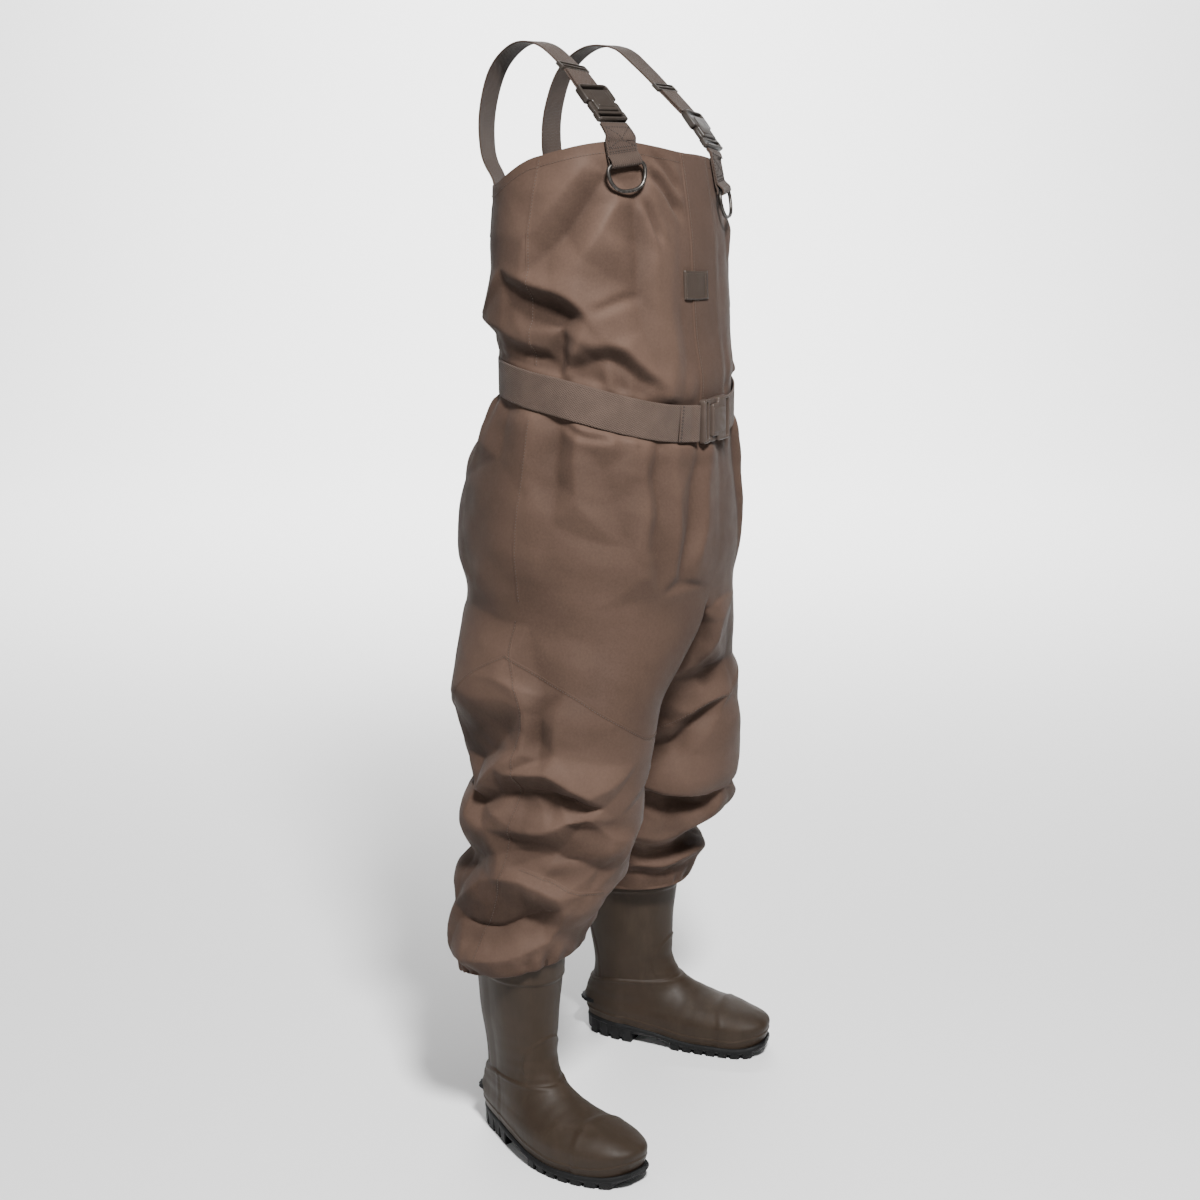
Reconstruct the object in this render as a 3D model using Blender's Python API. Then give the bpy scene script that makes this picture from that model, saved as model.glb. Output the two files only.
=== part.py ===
"""Bootfoot chest waders, standing in the form they have when worn.

Metres, +Z up. The wearer faces -Y, the wearer's left is +X and the floor is z = 0.
The cloth shell is one hollow wall lofted from torso and leg sections. Each boot is a hollow wall lofted
from level sections of its last, with its overlays cut from the same sections and a lugged sole under it.
"""

from collections import namedtuple
from math import cos, pi, radians, sin

import bmesh
import bpy
import numpy as np

# Driving dimensions
CLOTH_WALL = 0.002
RUBBER_WALL = 0.003
SEAT_GAP = 0.0003
BELT_WIDTH = 0.050
WEBBING_WIDTH = 0.045
WEBBING_THICK = 0.0025
BOOT_LENGTH = 0.300

# Mesh counts
TORSO_COLUMNS = 32
SEAM_COLUMNS = 8
LEG_ROWS = 13
BOOT_COLUMNS = 24

RIGHT = -1
LEFT = 1
SIDE_NAMES = {RIGHT: "right", LEFT: "left"}

# How each boot stands: its heel's distance from the middle and behind it, and its toe's turn outwards
Stand = namedtuple("Stand", "across aft toe_out")
STANDS = {RIGHT: Stand(0.173, 0.104, radians(15)), LEFT: Stand(0.157, 0.132, radians(13))}

# Torso: height of the section, half width, depth to the front and to the back, squareness of the oval
Torso = namedtuple("Torso", "z half_width front back square")
TORSO_SECTIONS = [
    Torso(0.790, 0.216, 0.160, 0.192, 2.2),
    Torso(0.860, 0.220, 0.168, 0.205, 2.2),
    Torso(0.930, 0.214, 0.166, 0.196, 2.2),
    Torso(1.000, 0.202, 0.162, 0.160, 2.3),
    Torso(1.080, 0.188, 0.157, 0.124, 2.3),
    Torso(1.130, 0.195, 0.158, 0.138, 2.3),
    Torso(1.180, 0.197, 0.149, 0.142, 2.4),
    Torso(1.280, 0.195, 0.141, 0.140, 2.4),
    Torso(1.400, 0.187, 0.120, 0.128, 2.4),
]
FORK_LEVEL = TORSO_SECTIONS[0].z
BELT_LEVEL = 1.080
BELT_TILT = 0.0305
BELT_DIP = 0.0185
BELT_DROP_REACH = 0.24
BELT_ROW_REACH = 0.032
TORSO_LEVELS = [0.83, 0.88, 0.93, 0.98, BELT_LEVEL - BELT_ROW_REACH, BELT_LEVEL + BELT_ROW_REACH]
TORSO_LEVELS += [1.14, 1.18, 1.23, 1.285, 1.34]
CROTCH_Z = 0.742
CROTCH_ROUND = 0.75

# Upper edge of the bib: turn from the front centre towards the wearer's left, height
Edge = namedtuple("Edge", "turn z")
BIB_EDGE = [
    Edge(-180, 1.352),
    Edge(-130, 1.345),
    Edge(-85, 1.390),
    Edge(-45, 1.405),
    Edge(0, 1.387),
    Edge(36, 1.372),
    Edge(85, 1.368),
    Edge(130, 1.345),
    Edge(180, 1.352),
]

# Legs: height, centre across and fore and aft, half width, depth to the front and to the back
Leg = namedtuple("Leg", "z across aft half_width front back")
LEG_SECTIONS = {
    RIGHT: [
        Leg(0.800, 0.106, 0.012, 0.108, 0.160, 0.182),
        Leg(0.712, 0.117, 0.010, 0.113, 0.156, 0.160),
        Leg(0.651, 0.129, 0.009, 0.114, 0.150, 0.152),
        Leg(0.585, 0.139, 0.007, 0.112, 0.140, 0.142),
        Leg(0.530, 0.146, 0.002, 0.109, 0.129, 0.123),
        Leg(0.477, 0.152, 0.005, 0.107, 0.125, 0.125),
        Leg(0.436, 0.157, 0.008, 0.105, 0.117, 0.116),
        Leg(0.402, 0.163, 0.016, 0.104, 0.112, 0.116),
        Leg(0.368, 0.169, 0.027, 0.103, 0.106, 0.112),
        Leg(0.330, 0.177, 0.044, 0.098, 0.096, 0.100),
        Leg(0.300, 0.184, 0.047, 0.093, 0.093, 0.095),
        Leg(0.275, 0.189, 0.039, 0.086, 0.090, 0.088),
        Leg(0.245, 0.192, 0.035, 0.074, 0.084, 0.084),
    ],
    LEFT: [
        Leg(0.800, 0.106, 0.012, 0.108, 0.160, 0.182),
        Leg(0.712, 0.115, 0.010, 0.111, 0.149, 0.156),
        Leg(0.651, 0.126, 0.009, 0.111, 0.138, 0.148),
        Leg(0.585, 0.136, 0.008, 0.108, 0.128, 0.138),
        Leg(0.530, 0.144, 0.004, 0.106, 0.124, 0.122),
        Leg(0.477, 0.152, 0.004, 0.106, 0.117, 0.122),
        Leg(0.436, 0.157, 0.010, 0.104, 0.111, 0.116),
        Leg(0.402, 0.163, 0.020, 0.100, 0.106, 0.112),
        Leg(0.368, 0.169, 0.034, 0.096, 0.095, 0.106),
        Leg(0.330, 0.173, 0.048, 0.090, 0.092, 0.096),
        Leg(0.300, 0.173, 0.056, 0.083, 0.095, 0.089),
        Leg(0.275, 0.173, 0.060, 0.076, 0.092, 0.085),
        Leg(0.245, 0.173, 0.061, 0.072, 0.085, 0.083),
    ],
}
LEG_SQUARE = 2.15
# Lowest point of each leg's blouse, at the front and at the back, and the level where it turns in to the boot
Blouse = namedtuple("Blouse", "front back tuck")
TUCK_CLEAR = 0.0037
CUFF_DROP = 0.014
BLOUSES = {RIGHT: Blouse(0.296, 0.252, 0.284), LEFT: Blouse(0.278, 0.268, 0.288)}

# Large folds of a leg: height, turn from the front towards the outer side, reach of the fold round the leg,
# rise of its line over that reach, half width of the fold, depth (a trough is negative)
Fold = namedtuple("Fold", "z turn reach rise half depth")
LEG_FOLDS = {
    RIGHT: [
        Fold(0.530, 150, 75, 0.030, 0.022, -0.016),
        Fold(0.500, 45, 55, 0.030, 0.020, -0.011),
        Fold(0.455, 30, 60, -0.020, 0.020, 0.008),
        Fold(0.420, 150, 70, 0.010, 0.018, -0.012),
        Fold(0.420, 60, 50, 0.030, 0.018, -0.009),
        Fold(0.345, 100, 60, 0.012, 0.022, 0.008),
        Fold(0.480, -120, 80, -0.020, 0.022, -0.010),
        Fold(0.400, -130, 80, 0.020, 0.020, -0.010),
    ],
    LEFT: [
        Fold(0.520, -60, 60, 0.030, 0.022, -0.008),
        Fold(0.445, -30, 70, 0.010, 0.018, -0.012),
        Fold(0.362, 20, 75, 0.006, 0.016, -0.012),
        Fold(0.412, 20, 60, 0.000, 0.022, 0.008),
        Fold(0.330, 15, 70, 0.000, 0.016, 0.010),
        Fold(0.520, 150, 75, 0.020, 0.022, -0.014),
        Fold(0.430, 160, 80, -0.020, 0.020, -0.012),
    ],
}

# Large folds of the torso: height, turn from the front towards the wearer's left, and the same columns
TORSO_FOLDS = [
    Fold(1.125, -80, 40, -0.020, 0.022, -0.012),
    Fold(1.165, -85, 36, 0.030, 0.020, 0.008),
    Fold(1.125, 80, 40, 0.020, 0.022, -0.012),
    Fold(1.160, 150, 60, 0.000, 0.024, -0.010),
    Fold(0.950, 180, 70, 0.000, 0.030, 0.008),
]

# Boot last, in level sections: height over the floor, back and front of the section from the heel's back,
# half width at the heel and at the ball, squareness
Last = namedtuple("Last", "z back front heel_half ball_half square")
LAST_SECTIONS = [
    Last(0.016, 0.008, 0.2920, 0.0360, 0.0540, 2.5),
    Last(0.030, 0.004, 0.2960, 0.0375, 0.0570, 2.5),
    Last(0.044, 0.001, 0.2985, 0.0385, 0.0575, 2.5),
    Last(0.056, 0.000, 0.2890, 0.0385, 0.0545, 2.4),
    Last(0.065, 0.001, 0.2670, 0.0385, 0.0490, 2.3),
    Last(0.072, 0.003, 0.2340, 0.0385, 0.0450, 2.2),
    Last(0.080, 0.005, 0.2020, 0.0390, 0.0420, 2.2),
    Last(0.090, 0.009, 0.1770, 0.0395, 0.0400, 2.1),
    Last(0.104, 0.0135, 0.1560, 0.0400, 0.0395, 2.1),
    Last(0.122, 0.0150, 0.1435, 0.0415, 0.0400, 2.1),
    Last(0.150, 0.0125, 0.1365, 0.0440, 0.0430, 2.1),
    Last(0.190, 0.0065, 0.1380, 0.0490, 0.0480, 2.1),
    Last(0.240, 0.002, 0.1420, 0.0540, 0.0535, 2.1),
    Last(0.285, 0.000, 0.1460, 0.0575, 0.0575, 2.1),
    Last(0.320, -0.001, 0.1470, 0.0590, 0.0590, 2.1),
]
LAST_BASE = LAST_SECTIONS[0].z
LAST_TOP = LAST_SECTIONS[-1].z
BALL_SWING = 0.009
TOE_SWING = 0.008
TOP_BAND_LOW = 0.258
TOP_BAND_HIGH = 0.300
TOP_BAND_THICK = 0.0016
FOOT_RUBBER_TOP = 0.085
FOOT_RUBBER_FADE = 0.003
OVERLAY_THICK = 0.0014
OVERLAY_FOOT = 0.018
# Overlays reach this many of the boot's columns to each side; an arched one's curve ends past them
TOE_CAP_COLUMNS = 4
COUNTER_COLUMNS = 4
SHIN_COLUMNS = 3
SPUR_COLUMNS = 2
ARCH_FOOT = 0.5
TOE_CAP_SEAT = 0.0020
TOE_CAP_SIDE = 0.030
TOE_CAP_RISE = 0.042
COUNTER_TOP = 0.080
SHIN_FOOT = 0.094
SHIN_SIDE = 0.112
SHIN_RISE = 0.080
SPUR_FOOT = 0.0445
SPUR_TOP = 0.0555
SPUR_REACH = 0.007
BOOT_LEVELS = [LAST_BASE, 0.030, 0.044, 0.056, 0.065, 0.074, FOOT_RUBBER_TOP - FOOT_RUBBER_FADE / 2]
BOOT_LEVELS += [FOOT_RUBBER_TOP + FOOT_RUBBER_FADE / 2, 0.104, 0.128, 0.180, TOP_BAND_LOW, LAST_TOP]
FOOT_RUBBER_STEP = 0.0012

# Sole: distance from the heel's back, height of its upper face, height of its tread
Sole = namedtuple("Sole", "u top tread")
SOLE_LINE = [
    Sole(0.000, 0.0330, 0.004),
    Sole(0.010, 0.0325, 0.000),
    Sole(0.080, 0.0285, 0.000),
    Sole(0.120, 0.0250, 0.000),
    Sole(0.156, 0.0195, 0.000),
    Sole(0.196, 0.0165, 0.000),
    Sole(0.246, 0.0165, 0.000),
    Sole(0.280, 0.0200, 0.004),
    Sole(0.300, 0.0255, 0.011),
]
Outline = namedtuple("Outline", "back front heel_half ball_half square")
SOLE_OUTLINE = Outline(0.003, BOOT_LENGTH + 0.0015, 0.0400, 0.0600, 2.5)
SOLE_END_HALF = 0.008
SOLE_RIB = 0.0012
SOLE_RIB_DROP = 0.004
SOLE_SEAT = 0.0007
LUG_TAPER = 0.0025
LUG_DEPTH = 0.005
ARCH_TREAD = 0.014
ARCH_SPAN = (0.085, 0.152)
CHEVRON = 0.006
# Lugs: start and end of each bar of tread along the sole
Lug = namedtuple("Lug", "start end")
LUGS = [Lug(0.012, 0.024), Lug(0.030, 0.044), Lug(0.050, 0.064), Lug(0.070, 0.085)]
LUGS += [Lug(0.152 + 0.0195 * i, 0.1655 + 0.0195 * i) for i in range(7)]
INSOLE_THICK = 0.004

# Webbing, buckles and rings
BELT_THICK = 0.0025
BELT_SEAT = 0.0021
BELT_FOLD_THICK = 0.0055
BELT_FOLD_TURN = 21
BELT_END_TURN = 8.82
BUCKLE_LENGTH = 0.072
BUCKLE_THICK = 0.012
STRAP_BUCKLE_THICK = 0.010
BACK_TURN = 160
BACK_SEAT_LENGTH = 0.075
STRAP_SEAT = 0.0025
TAB_SEAT = 0.0008
WIRE_RADIUS = 0.0025
EYE_HOLE = 0.0034
EYE_OUTER = 0.0056
RING_DROP = 0.036
RING_CLEAR = 0.003
RING_CORNER = 0.004
RING_SQUARE = 2.6
RING_SIDES = 6
PLACKET_THICK = 0.0018
PLACKET_CLEAR = 0.0065
PATCH_THICK = 0.0012

# The tabs that the straps hang on: turn at the foot and at the bib's edge, and the foot's drop below that edge
Tab = namedtuple("Tab", "foot_turn edge_turn drop")
TABS = {RIGHT: Tab(-42.5, -43.5, 0.028), LEFT: Tab(22, 21, 0.043)}

# Shoulder straps between the bib's front and back edges: distance from the middle, fore and aft, height
Route = namedtuple("Route", "across aft z")
STRAP_CROWN = [
    Route(0.0990, 0.044, 1.5260),
    Route(0.0920, 0.086, 1.5270),
    Route(0.0870, 0.124, 1.4960),
    Route(0.0840, 0.143, 1.4400),
    Route(0.0820, 0.143, 1.3850),
]
STRAP_ROUTES = {
    RIGHT: [Route(0.1275, -0.069, 1.4340), Route(0.1180, -0.028, 1.4760), Route(0.1090, 0.004, 1.5020)],
    LEFT: [Route(0.0850, -0.082, 1.4280), Route(0.0840, -0.036, 1.4705), Route(0.0900, 0.004, 1.5020)],
}
# Where the pieces of a strap begin and end, as heights on its way up from the tab
Fitting = namedtuple("Fitting", "tab_top buckle_foot buckle_top strap_foot slider")
FITTINGS = {
    RIGHT: Fitting(1.4252, 1.4265, 1.4700, 1.4703, 1.4950),
    LEFT: Fitting(1.3884, 1.3890, 1.4370, 1.4379, 1.4705),
}
SLIDER_LENGTH = 0.014

# The placket's middle and half width, as turns, at its foot and at the bib's edge
Placket = namedtuple("Placket", "share middle half")
PLACKET = [Placket(0.0, 2.0, 8.0), Placket(0.5, 2.0, 8.0), Placket(1.0, 2.0, 8.0)]
PATCH_SHARE = (0.42, 0.54)
PATCH_TURNS = (-11.5, 1.5)

# Colours
CLOTH_BROWN = (0.105, 0.070, 0.048)
WEBBING_BROWN = (0.125, 0.088, 0.064)
RUBBER_OLIVE = (0.070, 0.052, 0.034)
SOLE_BLACK = (0.012, 0.012, 0.013)
PLASTIC_BROWN = (0.085, 0.060, 0.045)
RING_METAL = (0.060, 0.050, 0.042)
LINING_GREY = (0.060, 0.058, 0.055)


def material(name, colour, roughness, metallic=0.0):
    made = bpy.data.materials.new(name)
    made.use_nodes = True
    shader = made.node_tree.nodes["Principled BSDF"]
    shader.inputs["Base Color"].default_value = (*colour, 1)
    shader.inputs["Roughness"].default_value = roughness
    shader.inputs["Metallic"].default_value = metallic
    return made


def smooth_column(rows, key, column, at):
    """A smooth curve through one column of a table, read at one or many values of its key column."""
    x = np.array([getattr(row, key) for row in rows])
    y = np.array([getattr(row, column) for row in rows])
    slope = np.gradient(y, x)
    steps = np.diff(y) / np.diff(x)
    for i in range(1, len(x) - 1):
        if steps[i - 1] * steps[i] <= 0:
            slope[i] = 0
    at = np.clip(np.asarray(at, float), x[0], x[-1])
    i = np.clip(np.searchsorted(x, at, side="right") - 1, 0, len(x) - 2)
    width = x[i + 1] - x[i]
    t = (at - x[i]) / width
    return (
        (1 + 2 * t) * (1 - t) ** 2 * y[i]
        + t * (1 - t) ** 2 * width * slope[i]
        + t**2 * (3 - 2 * t) * y[i + 1]
        + t**2 * (t - 1) * width * slope[i + 1]
    )


def ease(t):
    t = np.clip(t, 0, 1)
    return t * t * (3 - 2 * t)


def oval(turn, square):
    """Signed sine and cosine of a turn on an oval that is squarer than an ellipse above 2."""
    s, c = np.sin(turn), np.cos(turn)
    return np.sign(s) * np.abs(s) ** (2 / square), np.sign(c) * np.abs(c) ** (2 / square)


def fold_depth(folds, turn, z):
    """How far the folds push the cloth out at a turn, in degrees, and a height."""
    total = np.zeros(np.broadcast(turn, z).shape)
    for fold in folds:
        away = (turn - fold.turn + 180) % 360 - 180
        along = np.clip(away / fold.reach, -1, 1)
        line = fold.z + fold.rise * along
        total += fold.depth * np.cos(along * pi / 2) ** 2 * np.exp(-(((z - line) / fold.half) ** 2))
    return total


# Cloth shell


def bib_edge(turn):
    return smooth_column(BIB_EDGE, "turn", "z", (np.degrees(turn) + 180) % 360 - 180)


def belt_height(turn, level):
    """The height of a torso section's point: sections near the belt drop towards the front as it does."""
    near = np.cos(np.clip((level - BELT_LEVEL) / BELT_DROP_REACH, -1, 1) * pi / 2) ** 2
    return level - (BELT_TILT * np.cos(turn) + BELT_DIP * np.cos(turn) ** 2) * near


def torso_point(turn, level, out=0.0):
    """Outer face of the torso at a turn from the front towards the wearer's left, at a section's height."""
    turn, level = np.broadcast_arrays(np.asarray(turn, float), np.asarray(level, float))
    half = smooth_column(TORSO_SECTIONS, "z", "half_width", level)
    front = smooth_column(TORSO_SECTIONS, "z", "front", level)
    back = smooth_column(TORSO_SECTIONS, "z", "back", level)
    s, c = oval(turn, smooth_column(TORSO_SECTIONS, "z", "square", level))
    push = fold_depth(TORSO_FOLDS, np.degrees(turn), level) + out
    across = half * s + push * np.sin(turn)
    aft = -np.where(c > 0, front, back) * c - push * np.cos(turn)
    return np.stack([across, aft, belt_height(turn, level)], axis=-1)


def torso_rows():
    """Rings of the torso from the fork up to the bib's edge, as the cloth shell has them."""
    turns = np.linspace(0, 2 * pi, TORSO_COLUMNS, endpoint=False)
    rows = [torso_point(turns, level) for level in (FORK_LEVEL, *TORSO_LEVELS)]
    edge = torso_point(turns, bib_edge(turns))
    edge[:, 2] = bib_edge(turns)
    return np.array([*rows, edge])


def shell_point(turn, row):
    """A place on the shell's own facets, at a turn in degrees and a row counted up from the fork."""
    rows = torso_rows()
    place = (turn % 360) / 360 * TORSO_COLUMNS
    column, ring = int(place), min(int(row), len(rows) - 2)
    across, up = place - column, row - ring
    after = (column + 1) % TORSO_COLUMNS
    low = rows[ring][column] * (1 - across) + rows[ring][after] * across
    high = rows[ring + 1][column] * (1 - across) + rows[ring + 1][after] * across
    return low * (1 - up) + high * up


def shell_frame(turn, row, step=4.0):
    """A place on the shell, with the direction round the body towards the wearer's left, up, and outwards."""
    round_ = unit(shell_point(turn + step, row) - shell_point(turn - step, row))
    top = len(torso_rows()) - 1
    rise = unit(shell_point(turn, min(row + 0.3, top)) - shell_point(turn, min(row + 0.3, top) - 0.6))
    outwards = unit(np.cross(round_, rise))
    return shell_point(turn, row), round_, np.cross(outwards, round_), outwards


def leg_point(side, turn, z):
    """Outer face of a leg at a turn from the front towards its outer side, at a height."""
    rows = LEG_SECTIONS[side][::-1]
    read = {name: smooth_column(rows, "z", name, z) for name in Leg._fields[1:]}
    s, c = oval(turn, LEG_SQUARE)
    push = fold_depth(LEG_FOLDS[side], np.degrees(turn), z)
    push = push * ease((z - BLOUSES[side].back) / 0.06) * ease((FORK_LEVEL - z) / 0.10)
    across = read["across"] + read["half_width"] * s + push * np.sin(turn)
    aft = read["aft"] - np.where(c > 0, read["front"], read["back"]) * c - push * np.cos(turn)
    return np.stack([side * across, aft, z], axis=-1)


def leg_turns():
    half = TORSO_COLUMNS // 2
    outer = np.linspace(0, pi, half + 1)
    inner = np.linspace(pi, 2 * pi, SEAM_COLUMNS + 1)[1:-1]
    return np.concatenate([outer, inner])


def crotch_seam(front, back):
    """Points of the seam that runs under the fork from the back of the torso to its front."""
    t = np.linspace(0, 1, SEAM_COLUMNS + 1)[1:-1]
    aft = back[1] + (front[1] - back[1]) * (1 - np.cos(t * pi)) / 2
    edge = back[2] + (front[2] - back[2]) * t
    z = edge - (edge - CROTCH_Z) * np.sin(t * pi) ** CROTCH_ROUND
    return np.stack([np.zeros_like(t), aft, z], axis=-1)


def leg_rings(side, first):
    """Rings of one leg from under the fork to the cuff; the first one given is shared with the torso."""
    turns = leg_turns()
    blouse = BLOUSES[side]
    hem = blouse.back + (blouse.front - blouse.back) * (1 + np.cos(turns)) / 2
    rings = []
    for row in range(1, LEG_ROWS + 1):
        t = row / LEG_ROWS
        z = first[:, 2] + (hem - first[:, 2]) * t
        tube = leg_point(side, turns, z)
        blend = ease(t / 0.28)
        ring = tube.copy()
        ring[:, :2] = (1 - blend) * first[:, :2] + blend * tube[:, :2]
        rings.append(ring)
    for level in (blouse.tuck, blouse.tuck - CUFF_DROP):
        rings.append(boot_point(side, turns, level, TOP_BAND_THICK + TUCK_CLEAR))
    return rings


def build_wader_body(cloth):
    """The cloth shell: one wall, open at the bib and at both cuffs."""
    bm = bmesh.new()

    def add_ring(points):
        return [bm.verts.new(point) for point in points]

    def bridge(upper, lower):
        count = len(upper)
        for i in range(count):
            j = (i + 1) % count
            bm.faces.new((upper[i], lower[i], lower[j], upper[j]))

    rows = torso_rows()
    rings = [add_ring(row) for row in rows[::-1]]
    fork = rows[0]
    for upper, lower in zip(rings, rings[1:]):
        bridge(upper, lower)

    half = TORSO_COLUMNS // 2
    seam = crotch_seam(fork[0], fork[half])
    seam_verts = add_ring(seam)
    for side in (LEFT, RIGHT):
        columns = [side * i % TORSO_COLUMNS for i in range(half + 1)]
        points = np.concatenate([fork[columns], seam])
        verts = [[rings[-1][i] for i in columns] + seam_verts]
        verts += [add_ring(ring) for ring in leg_rings(side, points)]
        for upper, lower in zip(verts, verts[1:]):
            if side == LEFT:
                bridge(upper, lower)
            else:
                bridge(upper[::-1], lower[::-1])
    body = new_object("wader_body", bm, cloth)
    wall = body.modifiers.new("Wall", "SOLIDIFY")
    wall.thickness = CLOTH_WALL
    wall.offset = -1
    return body


# Solids


def new_object(name, bm, finish, smooth=True):
    mesh = bpy.data.meshes.new(name)
    bm.to_mesh(mesh)
    bm.free()
    if smooth:
        mesh.shade_smooth()
        mesh.set_sharp_from_angle(angle=radians(40))
    mesh.materials.append(finish)
    made = bpy.data.objects.new(name, mesh)
    bpy.context.scene.collection.objects.link(made)
    return made


def patch_solid(name, inner, outer, finish, closed=False):
    """A solid between two grids of points, rows by columns; a closed one meets itself round its columns."""
    bm = bmesh.new()
    rows, columns = inner.shape[:2]
    faces = [[[bm.verts.new(p) for p in row] for row in grid] for grid in (inner, outer)]
    spans = columns if closed else columns - 1

    def quad(a, b, c, d):
        bm.faces.new((a, b, c, d))

    for r in range(rows - 1):
        for k in range(spans):
            n = (k + 1) % columns
            quad(faces[1][r][k], faces[1][r][n], faces[1][r + 1][n], faces[1][r + 1][k])
            quad(faces[0][r][k], faces[0][r + 1][k], faces[0][r + 1][n], faces[0][r][n])
    for k in range(spans):
        n = (k + 1) % columns
        quad(faces[0][0][k], faces[0][0][n], faces[1][0][n], faces[1][0][k])
        quad(faces[0][-1][k], faces[1][-1][k], faces[1][-1][n], faces[0][-1][n])
    if not closed:
        for r in range(rows - 1):
            quad(faces[0][r][0], faces[1][r][0], faces[1][r + 1][0], faces[0][r + 1][0])
            quad(faces[0][r][-1], faces[0][r + 1][-1], faces[1][r + 1][-1], faces[1][r][-1])
    bmesh.ops.remove_doubles(bm, verts=bm.verts, dist=1e-6)
    bmesh.ops.recalc_face_normals(bm, faces=bm.faces)
    return new_object(name, bm, finish)


def ribbon_solid(name, middle, across, outward, width, thick, finish):
    """Webbing: a flat band along a line of middles, its width along one vector and its face along another."""
    edge = across * (width / 2)
    inner = np.stack([middle - edge, middle + edge], axis=1)
    outer = inner + (outward * thick)[:, None, :]
    return patch_solid(name, inner, outer, finish)


def unit(vector):
    vector = np.asarray(vector, float)
    return vector / np.linalg.norm(vector, axis=-1, keepdims=True)


# Boots


def foot_to_world(side, u, w, z):
    """The place in the world of a point along the foot from the heel's back and out from its middle line."""
    stand = STANDS[side]
    along = np.array([side * sin(stand.toe_out), -cos(stand.toe_out)])
    outwards = np.array([side * cos(stand.toe_out), sin(stand.toe_out)])
    start = np.array([side * stand.across, stand.aft])
    flat = start + np.multiply.outer(u, along) + np.multiply.outer(w, outwards)
    return np.concatenate([flat, np.asarray(z)[..., None]], axis=-1)


def middle_line(u):
    """Sideways curve of the foot: the ball swings outwards and the toe inwards."""
    ball = np.sin(pi * np.clip((u - 0.06) / 0.20, 0, 1))
    toe = np.clip((u - 0.20) / 0.105, 0, 1)
    return BALL_SWING * ball - TOE_SWING * toe**2


def half_width(u, back, front, heel_half, ball_half, square):
    """Half width of a section's outline at a place along the foot."""
    middle, reach = (back + front) / 2, (front - back) / 2
    q = np.clip(np.abs((u - middle) / reach), 0, 1)
    broad = heel_half + (ball_half - heel_half) * ease((u - back) / (front - back) / 0.7)
    return broad * (1 - q**square) ** (1 / square)


def feather_lift(u, level):
    """The lowest sections follow the sole's upper face, and the ankle's are level."""
    rest = smooth_column(SOLE_LINE, "u", "top", u) - LAST_BASE + SOLE_SEAT
    return rest * (1 - ease((level - LAST_BASE) / 0.055))


def boot_point(side, turn, level, out=0.0):
    """Outer face of a boot at a turn from the toe towards the outer side, at a section's height."""
    turn, level = np.broadcast_arrays(np.asarray(turn, float), np.asarray(level, float))
    read = {name: smooth_column(LAST_SECTIONS, "z", name, level) for name in Last._fields[1:]}
    s, c = oval(turn, read["square"])
    grow = out + FOOT_RUBBER_STEP * (1 - ease((level - FOOT_RUBBER_TOP) / FOOT_RUBBER_FADE + 0.5))
    reach = (read["front"] - read["back"]) / 2
    u = (read["front"] + read["back"]) / 2 + (reach + grow) * c
    place = np.clip((u - read["back"]) / (2 * reach), 0, 1)
    broad = read["heel_half"] + (read["ball_half"] - read["heel_half"]) * ease(place / 0.7)
    w = (broad + grow) * s + middle_line(u)
    return foot_to_world(side, u, w, level + feather_lift(u, level))


def build_boot_upper(side, rubber):
    """The boot's wall, open at its collar and underneath."""
    turns = np.linspace(0, 2 * pi, BOOT_COLUMNS, endpoint=False)
    bm = bmesh.new()
    rings = [[bm.verts.new(p) for p in boot_point(side, turns, level)] for level in BOOT_LEVELS]
    for lower, upper in zip(rings, rings[1:]):
        for i in range(BOOT_COLUMNS):
            j = (i + 1) % BOOT_COLUMNS
            bm.faces.new((lower[i], lower[j], upper[j], upper[i]))
    if side == RIGHT:
        bmesh.ops.reverse_faces(bm, faces=bm.faces)
    boot = new_object(f"boot_upper_{SIDE_NAMES[side]}", bm, rubber)
    wall = boot.modifiers.new("Wall", "SOLIDIFY")
    wall.thickness = RUBBER_WALL
    wall.offset = -1
    return boot


def boot_face(side, turn, levels, lift):
    """Points over the boot's own facets at one of its columns, moved outwards by a distance."""
    rings = np.array(BOOT_LEVELS)
    step = 0.001
    places = boot_point(side, turn, rings)
    ahead = boot_point(side, turn + step, rings) - boot_point(side, turn - step, rings)
    rise = boot_point(side, turn, rings + step) - boot_point(side, turn, rings - step)
    outwards = unit(np.cross(ahead, rise)) * side
    lifted = places + outwards * lift
    return np.stack([np.interp(levels, rings, lifted[:, k]) for k in range(3)], axis=-1)


def boot_overlay(name, side, columns, low, high, lifts, finish, closed=False):
    """A layer on the boot from one height to another, between two distances from its wall.

    It has the boot's own columns and rings, so that the two lie parallel. Each column has its own top.
    """
    rings = [level for level in BOOT_LEVELS if low < level < max(high)]
    grids = []
    for lift in lifts:
        lines = []
        for column, top in zip(columns, high):
            levels = np.minimum([low, *rings, max(high)], top)
            lines.append(boot_face(side, column * 2 * pi / BOOT_COLUMNS, levels, lift))
        grids.append(np.stack(lines, axis=1))
    return patch_solid(f"{name}_{SIDE_NAMES[side]}", *grids, finish, closed)


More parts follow.
